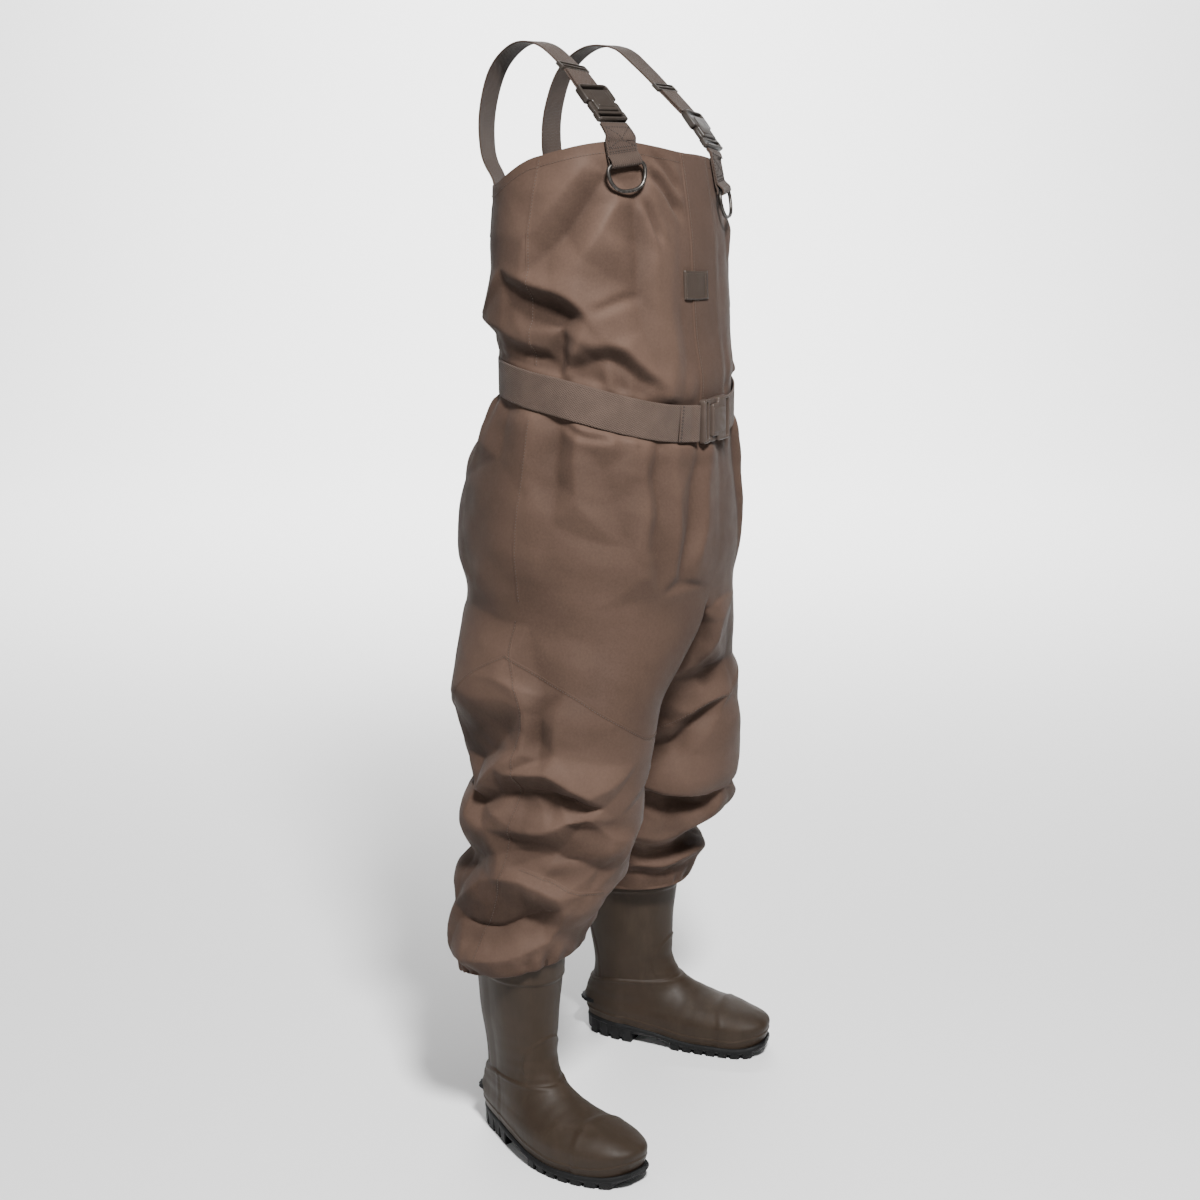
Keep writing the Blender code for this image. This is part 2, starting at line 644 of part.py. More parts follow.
def build_boot_overlays(side, rubber, black):
    layer = (SEAT_GAP, SEAT_GAP + OVERLAY_THICK)
    cap = np.arange(-TOE_CAP_COLUMNS, TOE_CAP_COLUMNS + 1)
    arch = np.sqrt(1 - (cap / (TOE_CAP_COLUMNS + ARCH_FOOT)) ** 2)
    bulge = (TOE_CAP_SEAT, TOE_CAP_SEAT + OVERLAY_THICK)
    boot_overlay("toe_cap", side, cap, OVERLAY_FOOT, TOE_CAP_SIDE + TOE_CAP_RISE * arch, bulge, rubber)

    heel = BOOT_COLUMNS // 2
    counter = np.arange(heel - COUNTER_COLUMNS, heel + COUNTER_COLUMNS + 1)
    level = np.full(len(counter), COUNTER_TOP)
    boot_overlay("heel_counter", side, counter, OVERLAY_FOOT, level, layer, rubber)

    shin = np.arange(-SHIN_COLUMNS, SHIN_COLUMNS + 1)
    crown = np.sqrt(1 - (shin / (SHIN_COLUMNS + ARCH_FOOT)) ** 2)
    boot_overlay("shin_panel", side, shin, SHIN_FOOT, SHIN_SIDE + SHIN_RISE * crown, layer, rubber)

    around = np.arange(BOOT_COLUMNS)
    band = (SEAT_GAP, TOP_BAND_THICK)
    level = np.full(BOOT_COLUMNS, TOP_BAND_HIGH)
    boot_overlay("top_band", side, around, TOP_BAND_LOW, level, band, rubber, True)

    spur = np.arange(heel - SPUR_COLUMNS, heel + SPUR_COLUMNS + 1)
    lifts = (2 * SEAT_GAP + OVERLAY_THICK, OVERLAY_THICK + SPUR_REACH)
    boot_overlay("kick_spur", side, spur, SPUR_FOOT, np.full(len(spur), SPUR_TOP), lifts, black)


def sole_ring(side, u, tread, groove):
    """One section across the sole: top, side rib, side, tread, and the same on the inner side."""
    half = max(float(half_width(u, *SOLE_OUTLINE)), SOLE_END_HALF)
    top = float(smooth_column(SOLE_LINE, "u", "top", u))
    middle = float(middle_line(u))
    points = []
    for sign in (1, -1):
        outline = [
            (half, top),
            (half + SOLE_RIB, top - SOLE_RIB_DROP),
            (half, groove + SEAT_GAP),
            (half - LUG_TAPER, tread),
        ]
        points.append([(sign * w, z) for w, z in outline])
    across = points[0] + [(0.0, tread)] + points[1][::-1] + [(0.0, top)]
    vee = CHEVRON * (1 - ease((abs(u - BOOT_LENGTH / 2) - 0.115) / 0.03))
    ring = []
    for index, (w, z) in enumerate(across):
        under = 2 <= index <= 6
        ring.append((u + (vee * (1 - abs(w) / half) if under else 0.0), w + middle, z))
    u_, w_, z_ = (np.array(column) for column in zip(*ring))
    return foot_to_world(side, u_, w_, z_)


def tread_stations():
    """Places along the sole with the height of the tread and of the grooves there, in order."""
    stations = []

    def add(u, is_lug):
        base = float(smooth_column(SOLE_LINE, "u", "tread", u))
        arch = ARCH_SPAN[0] < u < ARCH_SPAN[1]
        groove = base + (ARCH_TREAD if arch else LUG_DEPTH)
        stations.append((u, base if is_lug else groove, groove))

    add(0.0045, False)
    for before, lug in zip([None, *LUGS], LUGS):
        if before and lug.start - before.end > 0.03:
            for t in (0.02, 0.35, 0.65, 0.98):
                add(before.end + (lug.start - before.end) * t, False)
        add(lug.start, False)
        add(lug.start, True)
        add(lug.end, True)
        add(lug.end, False)
    add(0.2930, False)
    add(0.2995, False)
    return stations


def build_outsole(side, black):
    bm = bmesh.new()
    rings = [[bm.verts.new(p) for p in sole_ring(side, u, tread, line)] for u, tread, line in tread_stations()]
    count = len(rings[0])
    for before, after in zip(rings, rings[1:]):
        for i in range(count):
            j = (i + 1) % count
            bm.faces.new((before[i], before[j], after[j], after[i]))
    bm.faces.new(rings[0][::-1])
    bm.faces.new(rings[-1])
    bmesh.ops.remove_doubles(bm, verts=bm.verts, dist=1e-6)
    bmesh.ops.recalc_face_normals(bm, faces=bm.faces)
    new_object(f"outsole_{SIDE_NAMES[side]}", bm, black)


def build_insole(side, lining):
    turns = np.linspace(0, 2 * pi, BOOT_COLUMNS, endpoint=False)
    inset = -(RUBBER_WALL + FOOT_RUBBER_STEP + 4 * SEAT_GAP)
    rim = boot_point(side, turns, LAST_BASE, inset)
    bm = bmesh.new()
    rings = []
    for lift in (2 * SEAT_GAP, INSOLE_THICK):
        rings.append([bm.verts.new((x, y, z + lift)) for x, y, z in rim])
    for i in range(len(rim)):
        j = (i + 1) % len(rim)
        bm.faces.new((rings[0][i], rings[0][j], rings[1][j], rings[1][i]))
    for ring in rings:
        spine = [(i, len(ring) - i) for i in range(1, len(ring) // 2)]
        bm.faces.new((ring[0], ring[1], ring[-1]))
        for (a, b), (c, d) in zip(spine, spine[1:]):
            bm.faces.new((ring[a], ring[c], ring[d % len(ring)], ring[b % len(ring)]))
        bm.faces.new((ring[spine[-1][0]], ring[len(ring) // 2], ring[spine[-1][1]]))
    bmesh.ops.recalc_face_normals(bm, faces=bm.faces)
    new_object(f"insole_{SIDE_NAMES[side]}", bm, lining)


# Webbing and its hardware


def belt_rows(width):
    """The rows of the shell at the lower and the upper edge of a band round the waist."""
    low = TORSO_LEVELS.index(BELT_LEVEL - BELT_ROW_REACH) + 1
    share = (1 - width / (2 * BELT_ROW_REACH)) / 2
    return low + share, low + 1 - share


def build_belt(webbing):
    step = 360 / TORSO_COLUMNS
    fold = 360 - BELT_FOLD_TURN
    turns = sorted([BELT_END_TURN, *np.arange(step, 360, step), fold - 0.5, fold, 360 - BELT_END_TURN])
    grids = []
    for outer in (False, True):
        rows = []
        for row in belt_rows(BELT_WIDTH):
            points = []
            for turn in turns:
                place, _, _, outwards = shell_frame(turn, row)
                thick = BELT_FOLD_THICK if turn >= fold else BELT_THICK
                points.append(place + outwards * (BELT_SEAT + (thick if outer else 0)))
            rows.append(points)
        grids.append(np.array(rows))
    patch_solid("belt", *grids, webbing)


def cell_plate(name, cuts_across, cuts_along, cells, frame, thick, finish):
    """A flat moulding: a grid of cells, filled where a row of the pattern has a mark, given a thickness."""
    origin, across, along, outwards = frame
    bm = bmesh.new()
    corners = {}

    def corner(i, j, level):
        key = (i, j, level)
        if key not in corners:
            place = origin + across * cuts_across[i] + along * cuts_along[j] + outwards * (thick * level)
            corners[key] = bm.verts.new(place)
        return corners[key]

    def filled(i, j):
        return 0 <= j < len(cells) and 0 <= i < len(cells[j]) and cells[j][i] == "#"

    for j, row in enumerate(cells):
        for i, mark in enumerate(row):
            if mark != "#":
                continue
            square = [(i, j), (i + 1, j), (i + 1, j + 1), (i, j + 1)]
            bm.faces.new([corner(*p, 1) for p in square])
            bm.faces.new([corner(*p, 0) for p in reversed(square)])
            for k, (di, dj) in enumerate([(0, -1), (1, 0), (0, 1), (-1, 0)]):
                if not filled(i + di, j + dj):
                    a, b = square[k], square[(k + 1) % 4]
                    bm.faces.new((corner(*a, 0), corner(*b, 0), corner(*b, 1), corner(*a, 1)))
    bmesh.ops.recalc_face_normals(bm, faces=bm.faces)
    return new_object(name, bm, finish, smooth=False)


PLUG_CELLS = ["####", "#.#.", "#.#.", "#.#.", "####"]
SOCKET_CELLS = [".###", "##.#", ".###"]


def build_buckle(socket_name, plug_name, frame, webbing, length, thick, finish):
    """A side-release buckle that is closed: the plug's two arms lie in the socket's sides.

    The frame's first direction runs from the plug's webbing to the socket's.
    """
    origin, along, across, outwards = frame
    half = webbing / 2 + 0.005
    arm = half - 0.006
    bar, slot, base, reach = 0.055 * length, 0.15 * length, 0.24 * length, 0.52 * length
    start = origin - along * (length / 2)
    plug_across = [-half, -arm, -arm / 2, arm / 2, arm, half]
    plug_along = [0.0, bar, slot, base, reach]
    socket_across = [-half, -arm + 2 * SEAT_GAP, arm - 2 * SEAT_GAP, half]
    socket_along = [base + SEAT_GAP, reach + SEAT_GAP, length - slot, length - bar, length]
    turned = (start, along, across, outwards)
    cell_plate(plug_name, plug_along, plug_across, PLUG_CELLS, turned, thick, finish)
    cell_plate(socket_name, socket_along, socket_across, SOCKET_CELLS, turned, thick, finish)


def build_belt_buckle(plastic):
    low, high = belt_rows(BELT_WIDTH)
    place, along, across, outwards = shell_frame(0, (low + high) / 2, 9.0)
    frame = (place + outwards * SEAT_GAP, along, across, outwards)
    names = ("belt_buckle_socket", "belt_buckle_plug")
    build_buckle(*names, frame, BELT_WIDTH, BUCKLE_LENGTH, BUCKLE_THICK, plastic)


def smooth_path(points, each):
    """A smooth curve through a route's points, with a number of steps between each two."""
    points = np.asarray(points, float)
    padded = np.concatenate([[2 * points[0] - points[1]], points, [2 * points[-1] - points[-2]]])
    path = []
    for p0, p1, p2, p3 in zip(padded, padded[1:], padded[2:], padded[3:]):
        for t in np.arange(each) / each:
            path.append(
                p1
                + (p2 - p0) * t / 2
                + (2 * p0 - 5 * p1 + 4 * p2 - p3) * t**2 / 2
                + (3 * p1 - 3 * p2 + p3 - p0) * t**3 / 2
            )
    return np.array([*path, points[-1]])


def row_below_edge(turn, drop):
    """The row of the shell that lies a distance down from the bib's edge."""
    row = len(torso_rows()) - 1.0
    while drop > 0:
        band = np.linalg.norm(shell_point(turn, row) - shell_point(turn, row - 1))
        row -= min(1.0, drop / band)
        drop -= band
    return row


def strap_line(side):
    """Middle, width and face of a shoulder strap, from its tab's foot to its end on the back of the bib."""
    tab, back = TABS[side], side * BACK_TURN
    seats = []
    for share in (0.0, 0.5, 1.0):
        turn = tab.foot_turn + (tab.edge_turn - tab.foot_turn) * share
        seats.append(shell_frame(turn, row_below_edge(turn, tab.drop * (1 - share))))
    front = [seat[0] + seat[3] * TAB_SEAT for seat in seats]
    front.append(front[-1] + seats[-1][2] * 0.007)
    free = [(side * row.across, row.aft, row.z) for row in STRAP_ROUTES[side] + STRAP_CROWN]
    drops = (0.0, BACK_SEAT_LENGTH / 2, BACK_SEAT_LENGTH)
    rear_seats = [shell_frame(back, row_below_edge(back, drop)) for drop in drops]
    rear = [seat[0] + seat[3] * STRAP_SEAT for seat in rear_seats]
    middle = smooth_path([*front, *free, *rear], 3)
    tangent = unit(np.gradient(middle, axis=0))
    share = np.linspace(0, 1, len(middle))[:, None]
    level = np.array([1.0, 0.0, 0.0])
    first, last = seats[0][1], -rear_seats[0][1]
    turned = ease((share - 0.14) / 0.31)
    across = unit(first * (1 - turned) + level * turned)
    across = unit(across * (1 - ease((share - 0.6) / 0.3)) + last * ease((share - 0.6) / 0.3))
    outwards = unit(np.cross(across, tangent))
    return middle, np.cross(tangent, outwards), outwards


def strap_place(line, height):
    """The strap's frame where it reaches a height on its way up: place, width, along and face."""
    middle = line[0]
    top = int(np.argmax(middle[:, 2]))
    heights = middle[: top + 1, 2]
    read = [np.array([np.interp(height, heights, part[: top + 1, k]) for k in range(3)]) for part in line]
    face = unit(read[2])
    wide = unit(read[1] - face * np.dot(read[1], face))
    return read[0], wide, np.cross(face, wide), face


def build_strap_tab(side, line, webbing):
    """Webbing from the buckle down the bib, looped round the ring's bar at its foot."""
    middle, across, outwards = line
    foot, wide, up, face = middle[0], across[0], np.cross(outwards[0], across[0]), outwards[0]
    centre = foot + face * (EYE_OUTER + SEAT_GAP)
    sides = 12
    angles = (np.arange(sides) + 0.5) * 2 * pi / sides
    bm = bmesh.new()
    ends = []
    for edge in (-0.5, 0.5):
        shift = centre + wide * (edge * WEBBING_WIDTH)
        rings = []
        for radius in (EYE_HOLE, EYE_OUTER):
            rings.append([bm.verts.new(shift + (up * cos(a) + face * sin(a)) * radius) for a in angles])
        ends.append(rings)
    for k in range(sides):
        n = (k + 1) % sides
        for hole, rim in ends:
            bm.faces.new((hole[k], hole[n], rim[n], rim[k]))
        bm.faces.new((ends[0][0][k], ends[0][0][n], ends[1][0][n], ends[1][0][k]))
        if n != 0:
            bm.faces.new((ends[0][1][k], ends[0][1][n], ends[1][1][n], ends[1][1][k]))
    section = [ends[0][1][-1], ends[0][1][0], ends[1][1][0], ends[1][1][-1]]
    top = int(np.argmax(middle[:, 2]))
    end = FITTINGS[side].tab_top
    heights = [z for z in middle[: top + 1, 2] if middle[0, 2] + 0.012 < z < end - 0.004] + [end]
    for z in heights:
        place, wide, _, face = strap_place(line, z)
        edges = [place - wide * (WEBBING_WIDTH / 2), place + wide * (WEBBING_WIDTH / 2)]
        lift = face * (2 * WEBBING_THICK)
        after = [bm.verts.new(p) for p in (edges[0], edges[0] + lift, edges[1] + lift, edges[1])]
        for k in range(4):
            n = (k + 1) % 4
            bm.faces.new((section[k], section[n], after[n], after[k]))
        section = after
    bm.faces.new(section)
    bmesh.ops.recalc_face_normals(bm, faces=bm.faces)
    new_object(f"strap_tab_{SIDE_NAMES[side]}", bm, webbing)
    return centre, across[0], up, outwards[0]


def build_d_ring(side, frame, metal):
    """A D of round wire: its straight bar lies in the tab's loop and its bow hangs down."""
    centre, across, up, face = frame
    half = WEBBING_WIDTH / 2 + WIRE_RADIUS + RING_CLEAR
    corner = RING_CORNER
    bar = [(w, 0.0) for w in np.linspace(-half + corner, half - corner, 3)]
    s, c = oval(np.linspace(0, pi, 13), RING_SQUARE)
    bow = list(zip(half * c, corner + (RING_DROP - corner) * s))
    path = np.array(bar + bow)
    ahead = np.roll(path, -1, axis=0) - np.roll(path, 1, axis=0)
    ahead = unit(ahead)
    bm = bmesh.new()
    rings = []
    for (w, d), (dw, dd) in zip(path, ahead):
        place = across * w - up * d
        side_way = across * dd + up * dw
        sides = [(cos(a), sin(a)) for a in np.arange(RING_SIDES) * 2 * pi / RING_SIDES]
        rings.append([bm.verts.new(place + (face * c + side_way * s) * WIRE_RADIUS) for c, s in sides])
    for before, after in zip(rings, rings[1:] + rings[:1]):
        for k in range(RING_SIDES):
            n = (k + 1) % RING_SIDES
            bm.faces.new((before[k], before[n], after[n], after[k]))
    bmesh.ops.recalc_face_normals(bm, faces=bm.faces)
    ring = new_object(f"d_ring_{SIDE_NAMES[side]}", bm, metal)
    ring.location = centre


def build_strap(side, line, webbing, plastic):
    middle = line[0]
    fitting = FITTINGS[side]
    foot, head = (strap_place(line, z)[0] for z in (fitting.buckle_foot, fitting.buckle_top))
    length = np.linalg.norm(head - foot)
    along = unit(head - foot)
    face = strap_place(line, (fitting.buckle_foot + fitting.buckle_top) / 2)[3]
    wide = unit(np.cross(face, along))
    name = SIDE_NAMES[side]
    frame = ((foot + head) / 2, along, wide, np.cross(along, wide))
    build_buckle(
        f"strap_buckle_socket_{name}",
        f"strap_buckle_plug_{name}",
        frame,
        WEBBING_WIDTH,
        length - 2 * SEAT_GAP,
        STRAP_BUCKLE_THICK,
        plastic,
    )
    top = int(np.argmax(middle[:, 2]))
    above = [i for i in range(len(middle)) if i > top or middle[i, 2] > fitting.buckle_top + 0.006]
    start = strap_place(line, fitting.strap_foot)
    band = [np.concatenate([[first], part[above]]) for first, part in zip((start[0], start[1], start[3]), line)]
    ribbon_solid(f"suspender_strap_{name}", *band, WEBBING_WIDTH, WEBBING_THICK, webbing)
    place, wide, along, face = strap_place(line, fitting.slider)
    build_slider(side, place + face * (WEBBING_THICK / 2), wide, along, face, plastic)


def build_slider(side, centre, wide, along, face, plastic):
    """The adjuster: a flat loop that the strap runs through."""
    bm = bmesh.new()
    inner = (WEBBING_WIDTH / 2 + 0.0008, WEBBING_THICK / 2 + 0.0012)
    outer = (inner[0] + 0.004, inner[1] + 0.0028)
    rings = []
    for end in (-0.5, 0.5):
        for half_wide, half_deep in (inner, outer):
            corners = [(-1, -1), (1, -1), (1, 1), (-1, 1)]
            shift = centre + along * (end * SLIDER_LENGTH)
            places = [shift + wide * (half_wide * i) + face * (half_deep * j) for i, j in corners]
            rings.append([bm.verts.new(place) for place in places])
    for k in range(4):
        n = (k + 1) % 4
        for a, b in ((0, 1), (1, 3), (3, 2), (2, 0)):
            bm.faces.new((rings[a][k], rings[a][n], rings[b][n], rings[b][k]))
    bmesh.ops.recalc_face_normals(bm, faces=bm.faces)
    new_object(f"strap_slider_{SIDE_NAMES[side]}", bm, plastic, smooth=False)


def build_placket(cloth, label):
    """The flap down the bib's front, from the bib's edge to the belt, with a plain patch sewn on it."""
    top = len(torso_rows()) - 1
    foot = belt_rows(BELT_WIDTH + 2 * PLACKET_CLEAR)[1]

    def layer(turn, share, lift):
        place, _, _, outwards = shell_frame(turn, foot + (top - 0.02 - foot) * share)
        return place + outwards * lift

    rows = [row - foot for row in range(int(foot) + 1, top)]
    shares = [0.0, *(row / (top - 0.02 - foot) for row in rows), 1.0]
    grids = [[], []]
    for share in shares:
        middle = float(smooth_column(PLACKET, "share", "middle", share))
        half = float(smooth_column(PLACKET, "share", "half", share))
        turns = sorted({middle - half, middle + half, *(t for t in (-10, 0, 10) if abs(t - middle) < half - 1)})
        turns = np.interp(np.linspace(0, 1, 5), np.linspace(0, 1, len(turns)), turns)
        for grid, lift in zip(grids, (2 * SEAT_GAP, 2 * SEAT_GAP + PLACKET_THICK)):
            grid.append([layer(turn, share, lift) for turn in turns])
    patch_solid("front_placket", *(np.array(grid) for grid in grids), cloth)
    base = 4 * SEAT_GAP + PLACKET_THICK
    turns = np.linspace(*PATCH_TURNS, 4)
    patch = []
    for lift in (base, base + PATCH_THICK):
        patch.append(np.array([[layer(turn, share, lift) for turn in turns] for share in PATCH_SHARE]))
    patch_solid("chest_patch", *patch, label)


# Assembly


def stand_at_origin():
    """Hangs every piece on one empty, moved so that the box round them stands with its middle on the origin."""
    pieces = list(bpy.context.scene.collection.objects)
    corners = np.array([piece.location + vertex.co for piece in pieces for vertex in piece.data.vertices])
    middle = (corners.min(axis=0) + corners.max(axis=0)) / 2
    root = bpy.data.objects.new("waders", None)
    bpy.context.scene.collection.objects.link(root)
    root.location = (-middle[0], -middle[1], 0.0)
    for piece in pieces:
        piece.parent = root


def main():
    for old in list(bpy.data.objects):
        bpy.data.objects.remove(old)
    cloth = material("wader_cloth", CLOTH_BROWN, 0.55)
    webbing = material("webbing", WEBBING_BROWN, 0.8)
    plastic = material("buckle_plastic", PLASTIC_BROWN, 0.4)
    metal = material("ring_metal", RING_METAL, 0.35, 0.8)
    rubber = material("boot_rubber", RUBBER_OLIVE, 0.5)
    black = material("sole_rubber", SOLE_BLACK, 0.6)
    lining = material("insole_felt", LINING_GREY, 0.9)
    build_wader_body(cloth)
    build_placket(cloth, rubber)
    build_belt(webbing)
    build_belt_buckle(plastic)
    for side in (RIGHT, LEFT):
        line = strap_line(side)
        eye = build_strap_tab(side, line, webbing)
        build_d_ring(side, eye, metal)
        build_strap(side, line, webbing, plastic)
        build_boot_upper(side, rubber)
        build_boot_overlays(side, rubber, black)
        build_outsole(side, black)
        build_insole(side, lining)
    stand_at_origin()


if __name__ == "__main__":
    main()
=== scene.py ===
from math import cos, pi, radians, sin

import bmesh
import bpy
import numpy as np
from mathutils import Matrix, Vector
from mathutils.bvhtree import BVHTree
from mathutils.geometry import delaunay_2d_cdt


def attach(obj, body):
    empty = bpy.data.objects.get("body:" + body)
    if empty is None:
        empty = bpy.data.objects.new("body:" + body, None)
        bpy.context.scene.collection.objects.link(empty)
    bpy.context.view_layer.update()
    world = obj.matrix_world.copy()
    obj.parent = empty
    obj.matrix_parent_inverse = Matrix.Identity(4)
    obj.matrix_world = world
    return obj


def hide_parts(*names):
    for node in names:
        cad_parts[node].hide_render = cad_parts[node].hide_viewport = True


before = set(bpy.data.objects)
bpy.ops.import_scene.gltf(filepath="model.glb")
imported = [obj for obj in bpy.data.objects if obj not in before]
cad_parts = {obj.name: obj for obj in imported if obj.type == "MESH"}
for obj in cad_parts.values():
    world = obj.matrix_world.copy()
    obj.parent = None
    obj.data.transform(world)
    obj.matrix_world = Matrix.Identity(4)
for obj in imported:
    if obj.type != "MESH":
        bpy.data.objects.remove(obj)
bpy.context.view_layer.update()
print("frame loaded")

right, left = -1, 1
sideNames = {right: "right", left: "left"}
legCodes = ((right, 1), (left, 2))  # the torso has code 0
frameShift = np.array([0.011336, -0.006440, 0.0])  # from the garment's middle line to the middle of the box

# The garment's own sizes, the same as the solids have

# height, half width, depth to the front and to the back, squareness of the oval
torsoSections = [
    (0.790, 0.216, 0.160, 0.192, 2.2),
    (0.860, 0.220, 0.168, 0.205, 2.2),
    (0.930, 0.214, 0.166, 0.196, 2.2),
    (1.000, 0.202, 0.162, 0.160, 2.3),
    (1.080, 0.188, 0.157, 0.124, 2.3),
    (1.130, 0.195, 0.158, 0.138, 2.3),
    (1.180, 0.197, 0.149, 0.142, 2.4),
    (1.280, 0.195, 0.141, 0.140, 2.4),
    (1.400, 0.187, 0.120, 0.128, 2.4),
]
forkLevel = torsoSections[0][0]
beltLevel = 1.080
beltRowReach = 0.032
beltTilt = {"tilt": 0.0305, "dip": 0.0185, "reach": 0.24}
crotch = {"z": 0.742, "round": 0.75}

# turn from the front centre towards +X, height of the bib's edge
bibEdgeTable = [
    (-180, 1.352),
    (-130, 1.345),
    (-85, 1.390),
    (-45, 1.405),
    (0, 1.387),
    (36, 1.372),
    (85, 1.368),
    (130, 1.345),
    (180, 1.352),
]

# height, centre across and aft, half width, depth to the front and to the back
legSections = {
    right: [
        (0.800, 0.106, 0.012, 0.108, 0.160, 0.182),
        (0.712, 0.117, 0.010, 0.113, 0.156, 0.160),
        (0.651, 0.129, 0.009, 0.114, 0.150, 0.152),
        (0.585, 0.139, 0.007, 0.112, 0.140, 0.142),
        (0.530, 0.146, 0.002, 0.109, 0.129, 0.123),
        (0.477, 0.152, 0.005, 0.107, 0.125, 0.125),
        (0.436, 0.157, 0.008, 0.105, 0.117, 0.116),
        (0.402, 0.163, 0.016, 0.104, 0.112, 0.116),
        (0.368, 0.169, 0.027, 0.103, 0.106, 0.112),
        (0.330, 0.177, 0.044, 0.098, 0.096, 0.100),
        (0.300, 0.184, 0.047, 0.093, 0.093, 0.095),
        (0.275, 0.189, 0.039, 0.086, 0.090, 0.088),
        (0.245, 0.192, 0.035, 0.074, 0.084, 0.084),
    ],
    left: [
        (0.800, 0.106, 0.012, 0.108, 0.160, 0.182),
        (0.712, 0.115, 0.010, 0.111, 0.149, 0.156),
        (0.651, 0.126, 0.009, 0.111, 0.138, 0.148),
        (0.585, 0.136, 0.008, 0.108, 0.128, 0.138),
        (0.530, 0.144, 0.004, 0.106, 0.124, 0.122),
        (0.477, 0.152, 0.004, 0.106, 0.117, 0.122),
        (0.436, 0.157, 0.010, 0.104, 0.111, 0.116),
        (0.402, 0.163, 0.020, 0.100, 0.106, 0.112),
        (0.368, 0.169, 0.034, 0.096, 0.095, 0.106),
        (0.330, 0.173, 0.048, 0.090, 0.092, 0.096),
        (0.300, 0.173, 0.056, 0.083, 0.095, 0.089),
        (0.275, 0.173, 0.060, 0.076, 0.092, 0.085),
        (0.245, 0.173, 0.061, 0.072, 0.085, 0.083),
    ],
}
legSquare = 2.15
legBlend = {"hemFade": 0.06, "forkFade": 0.10, "forkShare": 0.28}
# lowest point of the blouse at the front and at the back, and where it turns in to the boot
blouses = {
    right: {"front": 0.296, "back": 0.252, "tuck": 0.284},
    left: {"front": 0.278, "back": 0.268, "tuck": 0.288},
}

# the broad folds that the solids have too: height, turn, reach, rise, half width, depth
broadLegFolds = {
    right: [
        (0.530, 150, 75, 0.030, 0.022, -0.016),
        (0.500, 45, 55, 0.030, 0.020, -0.011),
        (0.455, 30, 60, -0.020, 0.020, 0.008),
        (0.420, 150, 70, 0.010, 0.018, -0.012),
        (0.420, 60, 50, 0.030, 0.018, -0.009),
        (0.345, 100, 60, 0.012, 0.022, 0.008),
        (0.480, -120, 80, -0.020, 0.022, -0.010),
        (0.400, -130, 80, 0.020, 0.020, -0.010),
    ],
    left: [
        (0.520, -60, 60, 0.030, 0.022, -0.008),
        (0.445, -30, 70, 0.010, 0.018, -0.012),
        (0.362, 20, 75, 0.006, 0.016, -0.012),
        (0.412, 20, 60, 0.000, 0.022, 0.008),
        (0.330, 15, 70, 0.000, 0.016, 0.010),
        (0.520, 150, 75, 0.020, 0.022, -0.014),
        (0.430, 160, 80, -0.020, 0.020, -0.012),
    ],
}
broadTorsoFolds = [
    (1.125, -80, 40, -0.020, 0.022, -0.012),
    (1.165, -85, 36, 0.030, 0.020, 0.008),
    (1.125, 80, 40, 0.020, 0.022, -0.012),
    (1.160, 150, 60, 0.000, 0.024, -0.010),
    (0.950, 180, 70, 0.000, 0.030, 0.008),
]

# heel's distance from the middle and behind it, turn of the toe
stands = {right: (0.173, 0.104, radians(15)), left: (0.157, 0.132, radians(13))}
# height, back and front of the section, half width at heel and ball, squareness
lastSections = [
    (0.016, 0.008, 0.2920, 0.0360, 0.0540, 2.5),
    (0.030, 0.004, 0.2960, 0.0375, 0.0570, 2.5),
    (0.044, 0.001, 0.2985, 0.0385, 0.0575, 2.5),
    (0.056, 0.000, 0.2890, 0.0385, 0.0545, 2.4),
    (0.065, 0.001, 0.2670, 0.0385, 0.0490, 2.3),
    (0.072, 0.003, 0.2340, 0.0385, 0.0450, 2.2),
    (0.080, 0.005, 0.2020, 0.0390, 0.0420, 2.2),
    (0.090, 0.009, 0.1770, 0.0395, 0.0400, 2.1),
    (0.104, 0.0135, 0.1560, 0.0400, 0.0395, 2.1),
    (0.122, 0.0150, 0.1435, 0.0415, 0.0400, 2.1),
    (0.150, 0.0125, 0.1365, 0.0440, 0.0430, 2.1),
    (0.190, 0.0065, 0.1380, 0.0490, 0.0480, 2.1),
    (0.240, 0.002, 0.1420, 0.0540, 0.0535, 2.1),
    (0.285, 0.000, 0.1460, 0.0575, 0.0575, 2.1),
    (0.320, -0.001, 0.1470, 0.0590, 0.0590, 2.1),
]
lastBase = lastSections[0][0]
lastBlend = {"ballShare": 0.7, "soleClear": 0.0007, "soleRise": 0.055}
# the foot's middle line bows out at the ball and back in at the toe: start, span, depth
footBow = {"ball": (0.06, 0.20, 0.009), "toe": (0.20, 0.105, 0.008)}
bootLength = 0.300
# distance from the heel's back, height of the sole's upper face, height of its tread
soleLine = [
    (0.000, 0.0330, 0.004),
    (0.010, 0.0325, 0.000),
    (0.080, 0.0285, 0.000),
    (0.120, 0.0250, 0.000),
    (0.156, 0.0195, 0.000),
    (0.196, 0.0165, 0.000),
    (0.246, 0.0165, 0.000),
    (0.280, 0.0200, 0.004),
    (0.300, 0.0255, 0.011),
]
soleOutline = (0.003, bootLength + 0.0015, 0.0400, 0.0600, 2.5)

webbing = {"width": 0.045, "thick": 0.0025, "beltWidth": 0.050}
solidColumns = 32  # columns and levels of the solid shell, which the strap's route is measured on
solidLevels = [0.83, 0.88, 0.93, 0.98, beltLevel - beltRowReach, beltLevel + beltRowReach]
solidLevels += [1.14, 1.18, 1.23, 1.285, 1.34]


